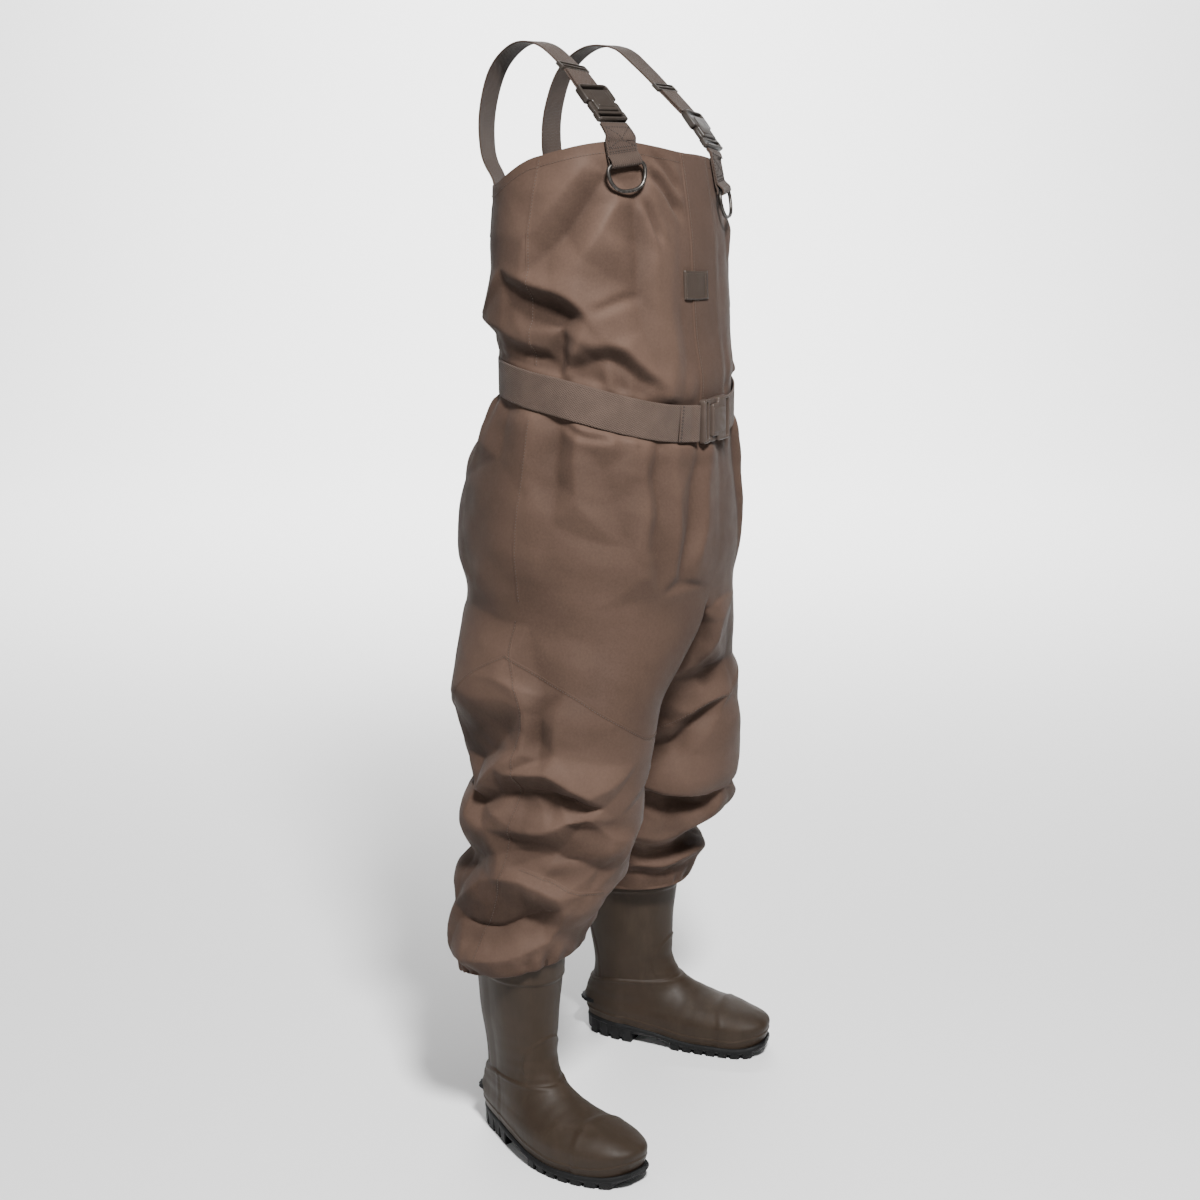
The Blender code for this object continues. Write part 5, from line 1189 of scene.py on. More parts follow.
seamLook = {
    "wide": 0.0065, "high": 0.0007, "step": 0.004, "stitchIn": 0.0028, "stitchLift": 0.0008,
    # across the lap: share of its width, share of its height
    "profile": [(-1.0, -0.30), (-0.75, 0.15), (-0.4, 0.55), (-0.1, 0.95), (0.0, 1.0), (0.05, 0.75), (0.06, -0.40)],
}


def lapSeam(points, outwards, flip=1):
    path = evenPath(np.concatenate([points, outwards], axis=1), seamLook["step"])
    places, ways = path[:, :3], unit(path[:, 3:])
    ahead = unit(np.gradient(places, axis=0))
    sideWay = unit(np.cross(ways, ahead)) * flip
    profile, wide = seamLook["profile"], seamLook["wide"]
    rows = []
    for share, lift in profile:
        offset = places + sideWay * (share * wide)
        rows.append(seatOn(offset, ways, lift * seamLook["high"]))
    grid = np.stack(rows, axis=0)
    faces = gridFaces(len(profile), grid.shape[1], closed=False)
    length = lengthAlong(places)
    across = np.repeat([share * wide for share, _ in profile], len(length))
    uv = np.stack([np.tile(length, len(profile)), across], axis=-1)
    sewLine(seatOn(places - sideWay * seamLook["stitchIn"], ways, seamLook["stitchLift"]), ways)
    return grid.reshape(-1, 3), faces if flip > 0 else faces[:, ::-1], uv


def legLine(side, path):
    turns = smoothPath([(radians(a), z) for a, z in path], 8)
    places = legPoint(side, turns[:, 0], turns[:, 1])
    return places, legWay(side, turns[:, 0], turns[:, 1])


def torsoLine(path):
    turns = smoothPath([(radians(a), z) for a, z in path], 8)
    return torsoPoint(turns[:, 0], turns[:, 1]), torsoWay(turns[:, 0], turns[:, 1])


legSeams = {
    right: [
        [(95, 0.770), (95, 0.730), (91, 0.692), (85, 0.648), (88, 0.592)]
        + [(89, 0.534), (92, 0.482), (93, 0.431), (91, 0.350), (91, 0.300)],
        [(140, 0.645), (130, 0.661), (113, 0.694), (97, 0.724)],
        [(97, 0.724), (88, 0.711), (77, 0.698), (57, 0.676), (37, 0.652), (1, 0.612), (-20, 0.607)],
        [(84, 0.435), (62, 0.426), (36, 0.406), (10, 0.398)],
    ],
    left: [
        [(95, 0.770), (94, 0.692), (90, 0.592), (90, 0.482), (92, 0.400), (91, 0.300)],
        [(-70, 0.560), (-51, 0.572), (-25, 0.598), (5, 0.610), (40, 0.640), (90, 0.690)],
        [(90, 0.690), (115, 0.670), (140, 0.650)],
        [(84, 0.435), (62, 0.426), (36, 0.406), (10, 0.398)],
    ],
}
torsoSeams = [
    [(-95, 0.800), (-95, 0.900), (-94, 1.000), (-94, 1.040)],
    [(-93, 1.115), (-93, 1.200), (-92, 1.300), (-90, 1.380)],
    [(95, 0.800), (95, 0.900), (94, 1.000), (94, 1.040)],
    [(93, 1.115), (93, 1.200), (92, 1.300), (90, 1.358)],
    [(180, 0.800), (180, 0.900), (180, 1.000), (180, 1.044)],
    [(180, 1.115), (180, 1.200), (180, 1.300), (180, 1.345)],
]
seamParts = [lapSeam(*legLine(side, path), -side) for side in (right, left) for path in legSeams[side]]
seamParts += [lapSeam(*torsoLine(path)) for path in torsoSeams]
seamPoints = np.concatenate([part[0] for part in seamParts])
seamStarts = np.cumsum([0] + [len(part[0]) for part in seamParts[:-1]])
seamFaces = np.concatenate([part[1] + start for part, start in zip(seamParts, seamStarts)])
seamUv = np.concatenate([part[2] for part in seamParts])
seams = makePiece("shell_seams", seamPoints, seamFaces, wovenCloth, uv=seamUv)
# the seams take the painted shade and painted light of the cloth under them
under = [bodyTree.find_nearest(Vector(p))[2] for p in seamPoints.tolist()]
setAttribute(seams, "paintedFoldShade", bodyPaintedShade[bodyFaces[under]].mean(axis=1))
print("seams laid")


# The bib's hem and the flap down its front

flapLook = {
    "rows": 90, "columns": 22, "lift": 0.0016, "foot": 1.1020, "head": 1.38, "middleTurn": 2.0, "halfTurn": 8.0,
    "halfWidth": 0.026, "topGap": 0.0012, "turnIn": 0.0006, "edge": 0.012, "round": 0.015, "roundLift": 0.8,
    "seam": 0.86, "seamReach": 0.045, "seamDent": 0.0005, "stitches": 90,
}
hemLook = {"drop": 0.014, "lift": 0.0005, "turnStep": 1.5}


def hemLine():
    turns = np.radians(np.arange(0, 361, hemLook["turnStep"]))
    levels = bibEdge(turns) - hemLook["drop"]
    ways = torsoWay(turns, levels)
    return seatOn(torsoPoint(turns, levels), ways, hemLook["lift"]), ways


sewLine(*hemLine())


def flapPoint(across, share, lift):
    foot = flapLook["foot"]
    turn = np.radians(flapLook["middleTurn"] + across * flapLook["halfTurn"])
    level = foot + (bibEdge(turn) - flapLook["topGap"] - foot) * share
    way = torsoWay(turn, level)
    return seatOn(torsoPoint(turn, level), way, 0.0) + way * np.asarray(lift)[:, None], way


def buildFlap():
    look = flapLook
    inner, outer = 1 - look["round"], 1 + look["edge"]
    across = np.concatenate([[-outer, -1.0], np.linspace(-inner, inner, look["columns"]), [1.0, outer]])
    lift = np.full(len(across), look["lift"])
    lift[[0, -1]] = -look["turnIn"]
    lift[[1, -2]] = look["lift"] * look["roundLift"]
    dent = np.exp(-(((np.abs(across) - look["seam"]) / look["seamReach"]) ** 2)) * look["seamDent"]
    shares = np.linspace(0, 1, look["rows"])
    grid = np.array([flapPoint(across, np.full(len(across), share), lift - dent)[0] for share in shares])
    # the foot and the head turn in to the cloth
    turns = np.radians(look["middleTurn"] + across * look["halfTurn"])
    ends = []
    for row, level in ((grid[0], look["foot"]), (grid[-1], look["head"])):
        ends.append(row - torsoWay(turns, np.full(len(across), level)) * (lift + look["turnIn"])[:, None])
    grid = np.concatenate([ends[0][None], grid, ends[1][None]])
    rows, columns = grid.shape[:2]
    faces = gridFaces(rows, columns, closed=False)[:, ::-1]
    uv = np.stack([np.tile(across * look["halfWidth"], rows), grid.reshape(-1, 3)[:, 2]], axis=-1)
    made = makePiece("front_flap", grid, faces, flapCloth, uv=uv)
    # the flap takes an even middle value of the painted fold shade
    setAttribute(made, "paintedFoldShade", np.zeros(rows * columns))
    count = look["stitches"]
    for edge in (-look["seam"], look["seam"]):
        sewLine(*flapPoint(np.full(count, edge), np.linspace(0.01, 0.99, count), np.full(count, look["lift"])))
    return made


flap = buildFlap()
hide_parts("front_placket")


# The sewn patch, left plain, with a raised rim

patchLook = {
    "rows": 22, "columns": 26, "turns": (-11.5, 1.5), "shares": (0.397, 0.500), "lift": 0.0031, "rim": 0.0006,
    "rimWide": 2, "turnIn": 0.0030, "stitchIn": 2.6, "stitchLift": 0.0003, "middle": (radians(-6.0), 1.25),
}


def buildPatch():
    look = patchLook
    rows, columns = look["rows"], look["columns"]
    turns = np.interp(np.arange(columns), [1, columns - 2], look["turns"])
    across = (turns - flapLook["middleTurn"]) / flapLook["halfTurn"]
    fromSide = np.minimum(np.arange(columns), np.arange(columns)[::-1])
    grid = []
    for r in range(rows):
        share = np.interp(r, [1, rows - 2], look["shares"])
        rim = np.minimum(min(r, rows - 1 - r), fromSide)
        rimLift = np.where(rim == 0, -look["turnIn"], np.where(rim <= look["rimWide"], look["rim"], 0.0))
        grid.append(flapPoint(across, np.full(columns, share), look["lift"] + rimLift)[0])
    grid = np.array(grid)
    faces = gridFaces(rows, columns, closed=False)[:, ::-1]
    made = makePiece("plain_patch", grid, faces, patchRubber)
    near, farRow, farColumn = look["stitchIn"], rows - 1 - look["stitchIn"], columns - 1 - look["stitchIn"]
    ring = [(near, near), (near, farColumn), (farRow, farColumn), (farRow, near), (near, near)]
    line = evenPath(np.array(ring), 0.5).astype(int)
    places = grid[line[:, 0], line[:, 1]]
    ways = np.tile(torsoWay(*look["middle"]), (len(places), 1))
    sewLine(places + ways * look["stitchLift"], ways)
    return made


patch = buildPatch()
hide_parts("chest_patch")
print("flap and patch made")


# Webbing: a flat band with rounded edges along a line

webProfile = {"corner": 0.42, "edge": 0.4, "across": 7}


def webbingBand(name, middle, across, outward, width, thick, material):
    corner = thick * webProfile["corner"]
    half, top = width / 2, thick / 2
    edge, count = top * webProfile["edge"], webProfile["across"]
    section = [(-half, -edge), (-half, edge), (-half + corner, top)]
    section += [(x, top) for x in np.linspace(-half + 3 * corner, half - 3 * corner, count)]
    section += [(half - corner, top), (half, edge), (half, -edge), (half - corner, -top)]
    section += [(x, -top) for x in np.linspace(half - 3 * corner, -half + 3 * corner, count)]
    section += [(-half + corner, -top)]
    rows = [middle[:, None] + across[:, None] * x + outward[:, None] * y for x, y in section]
    grid = np.concatenate(rows, axis=1)
    uv = [np.tile([x for x, _ in section], len(middle)), np.repeat(lengthAlong(middle), len(section))]
    made = makePiece(name, grid, tubeFaces(*grid.shape[:2]), material, uv=np.stack(uv, axis=-1))
    return outwardAll(made)


beltLook = {
    "seat": 0.0016, "thick": 0.0023, "endTurn": 8.82, "endGap": 1.6, "columns": 330, "liftTurn": 5, "lift": 0.0035,
    "foldTurn": 21.0, "foldGap": 1.4, "foldColumns": 40, "foldSeat": 1.62, "foldLift": 0.0038, "foldIn": 0.0006,
    "stitchTurns": (0.7, 1.5), "stitchHalf": 0.023, "stitchLift": 0.0013, "stitches": 12, "tiltStep": 0.02,
}


def beltRun(turnsDeg, clear, lift):
    turns = np.radians(turnsDeg)
    level = np.full(len(turns), beltLevel)
    flat = torsoWay(turns, level) * [1, 1, 0]
    path = torsoPoint(turns, level) + unit(flat) * clear
    step = beltLook["tiltStep"]
    rise = unit(torsoPoint(turns, beltLevel + step) - torsoPoint(turns, beltLevel - step))
    ahead = unit(np.gradient(path, axis=0))
    outward = unit(np.cross(ahead, rise))
    return path + outward * lift[:, None], np.cross(outward, ahead), outward


def buildBelt():
    look = beltLook
    width, end = webbing["beltWidth"], look["endTurn"]
    # the ends rise to the slots of the buckle
    turns = np.linspace(end + look["endGap"], 360 - end - look["endGap"], look["columns"])
    span = look["liftTurn"]
    rise = ease((turns[0] + span - turns) / span) + ease((turns - turns[-1] + span) / span)
    run = beltRun(turns, look["seat"] + look["thick"] / 2, look["lift"] * rise)
    main = webbingBand("waist_belt", *run, width, look["thick"], beltWeb)
    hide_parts("belt")
    # the end that is doubled back over the belt
    foldStart = 360 - look["foldTurn"]
    turns = np.linspace(foldStart, 360 - end - look["foldGap"], look["foldColumns"])
    rise = ease((turns - turns[-1] + span) / span)
    run = beltRun(turns, look["seat"] + look["thick"] * look["foldSeat"], look["foldLift"] * rise)
    webbingBand("belt_fold", *run, width - look["foldIn"], look["thick"], beltWeb)
    path, across, outward = run
    half, count = look["stitchHalf"], look["stitches"]
    for turn in look["stitchTurns"]:
        k = int(np.argmin(np.abs(turns - (foldStart + turn))))
        line = path[k] + outward[k] * look["stitchLift"] + across[k] * np.linspace(-half, half, count)[:, None]
        sewLine(line, np.tile(outward[k], (count, 1)), webLines)


buildBelt()
print("belt made")


# Strap routes, as the solids have them

# turn of the tab's foot, turn where it passes the edge, how far the foot is below the edge
tabs = {right: (-42.5, -43.5, 0.028), left: (22, 21, 0.043)}
strapCrown = [(0.0990, 0.044, 1.5260), (0.0920, 0.086, 1.5270), (0.0870, 0.124, 1.4960)]
strapCrown += [(0.0840, 0.143, 1.4400), (0.0820, 0.143, 1.3850)]
strapRoutes = {
    right: [(0.1275, -0.069, 1.4340), (0.1180, -0.028, 1.4760), (0.1090, 0.004, 1.5020)],
    left: [(0.0850, -0.082, 1.4280), (0.0840, -0.036, 1.4705), (0.0900, 0.004, 1.5020)],
}
# heights on the way up: top of the tab, foot and top of the buckle, foot of the strap, slider
fittings = {
    right: (1.4252, 1.4265, 1.4700, 1.4703, 1.4950),
    left: (1.3884, 1.3890, 1.4370, 1.4379, 1.4705),
}
backTurn, backSeat = 160, 0.075
eyeOuter, seatGap = 0.0056, 0.0003
# lift off the cloth in front and behind, rise above the edge, and where the webbing turns flat and back: start, span
routeLook = {"front": 0.0008, "rear": 0.0025, "rise": 0.007, "turnIn": (0.14, 0.31), "turnOut": (0.6, 0.3)}


def solidRows():
    turns = np.arange(solidColumns) * 2 * pi / solidColumns
    rows = [torsoPoint(turns, level) for level in (forkLevel, *solidLevels)]
    edge = torsoPoint(turns, bibEdge(turns))
    edge[:, 2] = bibEdge(turns)
    return np.array([*rows, edge])


facetRows = solidRows()


def facetPoint(turn, row):
    place = (turn % 360) / 360 * solidColumns
    column, ring = int(place), min(int(row), len(facetRows) - 2)
    across, up = place - column, row - ring
    after = (column + 1) % solidColumns
    low = facetRows[ring][column] * (1 - across) + facetRows[ring][after] * across
    high = facetRows[ring + 1][column] * (1 - across) + facetRows[ring + 1][after] * across
    return low * (1 - up) + high * up


def facetFrame(turn, row, step=4.0):
    around = unit(facetPoint(turn + step, row) - facetPoint(turn - step, row))
    top = min(row + 0.3, len(facetRows) - 1)
    rise = unit(facetPoint(turn, top) - facetPoint(turn, top - 0.6))
    outwards = unit(np.cross(around, rise))
    return facetPoint(turn, row), around, np.cross(outwards, around), outwards


def rowBelowEdge(turn, drop):
    row = len(facetRows) - 1.0
    while drop > 0:
        band = np.linalg.norm(facetPoint(turn, row) - facetPoint(turn, row - 1))
        row -= min(1.0, drop / band)
        drop -= band
    return row


def strapLine(side):
    footTurn, edgeTurn, drop = tabs[side]
    back = side * backTurn
    seats = []
    for share in (0.0, 0.5, 1.0):
        turn = footTurn + (edgeTurn - footTurn) * share
        seats.append(facetFrame(turn, rowBelowEdge(turn, drop * (1 - share))))
    front = [seat[0] + seat[3] * routeLook["front"] for seat in seats]
    front.append(front[-1] + seats[-1][2] * routeLook["rise"])
    free = [(side * x, y, z) for x, y, z in strapRoutes[side] + strapCrown]
    rearSeats = [facetFrame(back, rowBelowEdge(back, down)) for down in (0.0, backSeat / 2, backSeat)]
    rear = [seat[0] + seat[3] * routeLook["rear"] for seat in rearSeats]
    middle = smoothPath([*front, *free, *rear], 3)
    tangent = unit(np.gradient(middle, axis=0))
    share = np.linspace(0, 1, len(middle))[:, None]
    level = np.array([1.0, 0.0, 0.0])
    turned, late = (ease((share - start) / span) for start, span in (routeLook["turnIn"], routeLook["turnOut"]))
    across = unit(seats[0][1] * (1 - turned) + level * turned)
    across = unit(across * (1 - late) - rearSeats[0][1] * late)
    outwards = unit(np.cross(across, tangent))
    return middle, np.cross(tangent, outwards), outwards


def strapPlace(line, height):
    middle = line[0]
    top = int(np.argmax(middle[:, 2]))
    heights = middle[: top + 1, 2]
    read = [np.array([np.interp(height, heights, part[: top + 1, k]) for k in range(3)]) for part in line]
    face = unit(read[2])
    wide = unit(read[1] - face * np.dot(read[1], face))
    return read[0], wide, np.cross(face, wide), face


tabLook = {
    "thick": 0.0021, "loop": 0.0045, "rows": 40, "footGap": 0.003, "innerSpan": (0.002, 0.010),
    "outerSpan": (0.001, 0.013), "outerLift": 1.55, "stitchLift": 2.2, "stitchGap": 0.0035, "stitchStep": 0.003,
    "boxFoot": 0.020, "boxHead": 0.046, "boxTop": 0.006, "loopRows": (0.0135, 0.0160),
}


def buildTab(side, line):
    look = tabLook
    middle, across, outwards = line
    top, thick, loop = fittings[side][0], look["thick"], look["loop"]
    foot, wide, face = middle[0], across[0], outwards[0]
    up = np.cross(face, wide)
    eye = eyeOuter + seatGap
    centre = foot + face * eye

    def opened(rise, span):
        return 1 - ease((rise - span[0]) / span[1])

    def outerLift(z, layers):
        return thick * layers + (eye + loop - thick * look["outerLift"]) * opened(z - foot[2], look["outerSpan"])

    inner, outer = [], []
    for z in np.linspace(top, foot[2] + look["footGap"], look["rows"]):
        place, w, _, f = strapPlace(line, z)
        bulge = (eye - loop) * opened(z - foot[2], look["innerSpan"])
        inner.append((place + f * (thick * 0.5 + bulge), w))
        outer.append((place + f * outerLift(z, look["outerLift"]), w))
    round_ = []
    for angle in np.linspace(-90, -270, 19)[1:-1]:
        a = radians(angle)
        round_.append((centre + (up * cos(a) + face * sin(a)) * loop, wide))
    route = inner + round_ + outer[::-1]
    path = np.array([p for p, _ in route])
    widths = np.array([w for _, w in route])
    ahead = unit(np.gradient(path, axis=0))
    widths = unit(widths - ahead * (widths * ahead).sum(axis=1)[:, None])
    faces = unit(np.cross(ahead, widths))
    made = webbingBand(f"strap_tab_web_{sideNames[side]}", path, widths, faces, webbing["width"], thick, strapWeb)
    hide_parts(f"strap_tab_{sideNames[side]}")
    # the box with a cross, and rows of stitches over the loop
    half = webbing["width"] / 2 - look["stitchGap"]
    low, high = foot[2] + look["boxFoot"], min(top - look["boxTop"], foot[2] + look["boxHead"])
    strokes = [[(-half, low), (half, low), (half, high), (-half, high), (-half, low), (half, high)]]
    strokes += [[(-half, high), (half, low)]]
    strokes += [[(-half, foot[2] + rise), (half, foot[2] + rise)] for rise in look["loopRows"]]
    for stroke in strokes:
        points, ways = [], []
        for x, z in evenPath(np.array(stroke), look["stitchStep"]):
            place, w, _, f = strapPlace(line, z)
            points.append(place + w * x + f * outerLift(z, look["stitchLift"]))
            ways.append(f)
        sewLine(points, ways, webLines)
    return centre, wide, up, face


ringLook = {
    "wire": 0.0025, "drop": 0.036, "clear": 0.003, "corner": 0.004, "square": 2.6, "sides": 14, "barPoints": 14,
    "bowPoints": 60, "rounds": 3,
}


def buildRing(side, place):
    look = ringLook
    centre, wide, up, face = place
    half = webbing["width"] / 2 + look["wire"] + look["clear"]
    corner = look["corner"]
    bar = [(x, 0.0) for x in np.linspace(-half + corner, half - corner, look["barPoints"])]
    s, c = oval(np.linspace(0, pi, look["bowPoints"]), look["square"])
    bow = np.stack([half * c, corner + (look["drop"] - corner) * s], axis=-1)
    flat = np.concatenate([bar, bow])
    for _ in range(look["rounds"]):
        flat = (np.roll(flat, 1, axis=0) + 2 * flat + np.roll(flat, -1, axis=0)) / 4
    ahead = unit(np.roll(flat, -1, axis=0) - np.roll(flat, 1, axis=0))
    points = []
    for (x, d), (dx, dd) in zip(flat, ahead):
        inwards = wide * dd + up * dx
        for k in range(look["sides"]):
            a = 2 * pi * k / look["sides"]
            points.append(centre + wide * x - up * d + (face * cos(a) + inwards * sin(a)) * look["wire"])
    faces = gridFaces(len(flat) + 1, look["sides"]) % len(points)
    name = sideNames[side]
    made = makePiece(f"wire_ring_{name}", points, faces, ringSteel, body=f"ring_{name}")
    outwardAll(made)
    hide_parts(f"d_ring_{name}")


# Moulded plates: an outline with holes, its edges rounded

def roundedOutline(points, radius, steps=5):
    points = np.asarray(points, float)
    made = []
    for before, here, after in zip(np.roll(points, 1, axis=0), points, np.roll(points, -1, axis=0)):
        a, b = unit(before - here), unit(after - here)
        cut = min(radius, 0.45 * np.linalg.norm(before - here), 0.45 * np.linalg.norm(after - here))
        start, end = here + a * cut, here + b * cut
        for t in np.linspace(0, 1, steps):
            made.append((1 - t) ** 2 * start + 2 * (1 - t) * t * here + t**2 * end)
    return np.array(made)


def mouldedPlate(name, outlines, seat, low, high, bevel, material):
    curve = bpy.data.curves.new(name, "CURVE")
    curve.dimensions = "2D"
    curve.fill_mode = "BOTH"
    curve.extrude = (high - low) / 2 - bevel
    curve.bevel_depth = bevel
    curve.bevel_resolution = 2
    curve.offset = -bevel
    for outline in outlines:
        spline = curve.splines.new("POLY")
        spline.points.add(len(outline) - 1)
        flat = np.column_stack([outline, np.zeros(len(outline)), np.ones(len(outline))])
        spline.points.foreach_set("co", flat.ravel())
        spline.use_cyclic_u = True
    mesh = plainMesh(linked(name + "Curve", curve))
    points = np.array([v.co for v in mesh.vertices])
    faces = [list(p.vertices) for p in mesh.polygons]
    origin, along, across, outwards = seat
    x, y, z = points[:, :1], points[:, 1:2], points[:, 2:3] + (low + high) / 2
    places = origin + along * x + across * y + outwards * z
    made = makePiece(name, places, faces, material)
    outwardAll(made, 1e-5)
    made.data.set_sharp_from_angle(angle=radians(50))
    return made


def rectangle(x0, x1, y0, y1, radius):
    return roundedOutline([(x0, y0), (x1, y0), (x1, y1), (x0, y1)], radius)


# shares: slot, base and reach of the length, backSlot of the slot, plug, arm and bar of the thickness; else metres
buckleLook = {
    "margin": 0.005, "slot": (0.07, 0.17), "base": 0.24, "reach": 0.52, "slotClear": 0.001, "slotRound": 0.0015,
    "plug": (0.12, 0.80), "plugRound": 0.004, "arm": (0.2, 0.75), "armRound": 0.002, "neckIn": 0.0075,
    "backSlot": (0.95, 0.8), "socketRound": 0.003, "socketBevel": 0.0016, "bevel": 0.0009, "armBevel": 0.0007,
    "panelIn": (0.006, 0.003, 0.005), "panel": (0.001, 0.0007), "panelRound": 0.003, "panelBevel": 0.0005,
    "bar": (0.45, 0.92), "barIn": (0.0005, 0.003),
}


def buildBuckle(prefix, nodes, seat, band, length, thick, material, gap=0.0008):
    look = buckleLook
    origin, along, across, outwards = seat
    half, bevel = band / 2 + look["margin"], look["bevel"]
    place = (origin - along * (length / 2), along, across, outwards)
    slotIn, slotOut = (share * length for share in look["slot"])
    base, reach = look["base"] * length, look["reach"] * length
    slotHalf, slotRound = band / 2 + look["slotClear"], look["slotRound"]

    def plate(name, outlines, span, rounding):
        low, high = (share * thick for share in span)
        return mouldedPlate(f"{prefix}_{name}", outlines, place, low, high, rounding, material)

    hole = rectangle(slotIn, slotOut, -slotHalf, slotHalf, slotRound)
    plug = plate("plug", [rectangle(0, base, -half, half, look["plugRound"]), hole], look["plug"], bevel)
    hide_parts(nodes[1])
    for sign, letter in ((-1, "a"), (1, "b")):
        arm = [(base - 0.001, half - 0.008), (base - 0.001, half - 0.001), (reach - 0.004, half)]
        arm += [(reach, half - 0.003), (reach, half - 0.007)]
        outline = roundedOutline([(x, sign * y) for x, y in arm], look["armRound"])
        plate(f"arm_{letter}", [outline], look["arm"], look["armBevel"])
    neck = half - look["neckIn"]
    lower = [(base + gap, -neck), (reach + 0.0005, -neck), (reach + 0.0015, -half), (length - 0.004, -half)]
    lower += [(length, -half + 0.005)]
    outline = roundedOutline(lower + [(x, -y) for x, y in lower[::-1]], look["socketRound"])
    backOut, backIn = look["backSlot"]
    back = rectangle(length - slotOut * backOut, length - slotIn * backIn, -slotHalf, slotHalf, slotRound)
    socket = plate("socket", [outline, back], (0.0, 1), look["socketBevel"])
    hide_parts(nodes[0])
    # a raised panel on the socket's face, and the bar that the webbing goes round
    front, rear, aside = look["panelIn"]
    panelHalf, (sunk, proud) = neck - aside, look["panel"]
    panel = rectangle(base + front, length - slotOut - rear, -panelHalf, panelHalf, look["panelRound"])
    spot = (thick - sunk, thick + proud, look["panelBevel"], material)
    mouldedPlate(f"{prefix}_panel", [panel], place, *spot)
    barEnd, barAside = look["barIn"]
    bar = rectangle(barEnd, slotIn - barEnd, -half + barAside, half - barAside, slotRound)
    plate("bar", [bar], look["bar"], bevel)


sliderLook = {
    "reach": 0.007, "margin": 0.0048, "round": 0.002, "hole": (0.0012, 0.0052), "holeClear": 0.0008,
    "holeRound": 0.001, "low": -0.001, "high": 0.0042, "bevel": 0.0008,
}


def buildSlider(side, line):
    look = sliderLook
    place, wide, along, face = strapPlace(line, fittings[side][4])
    name, width = sideNames[side], webbing["width"] / 2
    half, inner = width + look["margin"], width + look["holeClear"]
    near, far = look["hole"]
    outlines = [rectangle(-look["reach"], look["reach"], -half, half, look["round"])]
    for start, end in ((-far, -near), (near, far)):
        outlines.append(rectangle(start, end, -inner, inner, look["holeRound"]))
    seat = (place + face * (webbing["thick"] / 2), along, wide, face)
    spot = (look["low"], look["high"], look["bevel"], buckleDark)
    made = mouldedPlate(f"strap_glide_{name}", outlines, seat, *spot)
    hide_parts(f"strap_slider_{name}")


strapLook = {
    "buckleGap": 0.0006, "buckleThick": 0.010, "above": 0.006, "step": 0.004, "waveSize": 0.12, "wave": 0.0006,
    "doubleEnd": 0.004, "doubleLift": 0.0029, "doubleIn": 0.001, "doubleThick": 0.9, "stitchRows": (-4, -9, -14),
    "stitchIn": 0.004, "stitchLift": 0.0014, "stitches": 12,
}


def buildStrap(side, line):
    look = strapLook
    name, width, thick = sideNames[side], webbing["width"], webbing["thick"]
    middle, across, outwards = line
    _, buckleFoot, buckleTop, strapFoot, slider = fittings[side]
    foot, head = strapPlace(line, buckleFoot)[0], strapPlace(line, buckleTop)[0]
    along = unit(head - foot)
    face = strapPlace(line, (buckleFoot + buckleTop) / 2)[3]
    wide = unit(np.cross(face, along))
    place = ((foot + head) / 2, along, wide, np.cross(along, wide))
    nodes = (f"strap_buckle_socket_{name}", f"strap_buckle_plug_{name}")
    length = np.linalg.norm(head - foot) - look["buckleGap"]
    buildBuckle(f"strap_clip_{name}", nodes, place, width, length, look["buckleThick"], buckleDark)
    top = int(np.argmax(middle[:, 2]))
    above = [i for i in range(len(middle)) if i > top or middle[i, 2] > buckleTop + look["above"]]
    start = strapPlace(line, strapFoot)
    path = np.concatenate([[start[0]], middle[above]])
    wides = np.concatenate([[start[1]], across[above]])
    faces = np.concatenate([[start[3]], outwards[above]])
    joined = evenPath(smoothPath(np.concatenate([path, wides, faces], axis=1), 6), look["step"])
    path, wides, faces = joined[:, :3], unit(joined[:, 3:6]), unit(joined[:, 6:])
    wave = waveNoise(path, 21 + side, look["waveSize"]) * look["wave"]
    path = path + faces * (thick / 2 + wave)[:, None]
    made = webbingBand(f"strap_web_{name}", path, wides, faces, width, thick, strapWeb)
    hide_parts(f"suspender_strap_{name}")
    # the end that is doubled back through the slider
    end = int(np.argmin(np.abs(path[: len(path) // 2, 2] - (slider - look["doubleEnd"])))) + 1
    second, wide, face = path[1:end] + faces[1:end] * look["doubleLift"], wides[1:end], faces[1:end]
    sizes = (width - look["doubleIn"], thick * look["doubleThick"])
    webbingBand(f"strap_double_{name}", second, wide, face, *sizes, strapWeb)
    # sewn to the back of the bib
    half, count = width / 2 - look["stitchIn"], look["stitches"]
    for k in look["stitchRows"]:
        row = path[k] + wides[k] * np.linspace(-half, half, count)[:, None] + faces[k] * look["stitchLift"]
        sewLine(row, np.tile(faces[k], (count, 1)), webLines)


beltClip = {"length": 0.072, "thick": 0.012, "gap": 0.0045, "turnStep": 9.0}
for side in (right, left):
    line = strapLine(side)
    buildRing(side, buildTab(side, line))
    buildStrap(side, line)
    buildSlider(side, line)
beltRow = solidLevels.index(beltLevel - beltRowReach) + 1.5
place, along, across, outwards = facetFrame(0, beltRow, beltClip["turnStep"])
beltNodes = ("belt_buckle_socket", "belt_buckle_plug")
beltSeat = (place + outwards * seatGap, along, across, outwards)
beltSizes = (webbing["beltWidth"], beltClip["length"], beltClip["thick"])
buildBuckle("belt_clip", beltNodes, beltSeat, *beltSizes, buckleBelt, beltClip["gap"])
print("straps, rings and buckles made")
sewAll("garment_stitches", stitchLines, threadBrown)
sewAll("webbing_stitches", webLines, webThread, width=0.0013)
print("stitches sewn")


# Boots

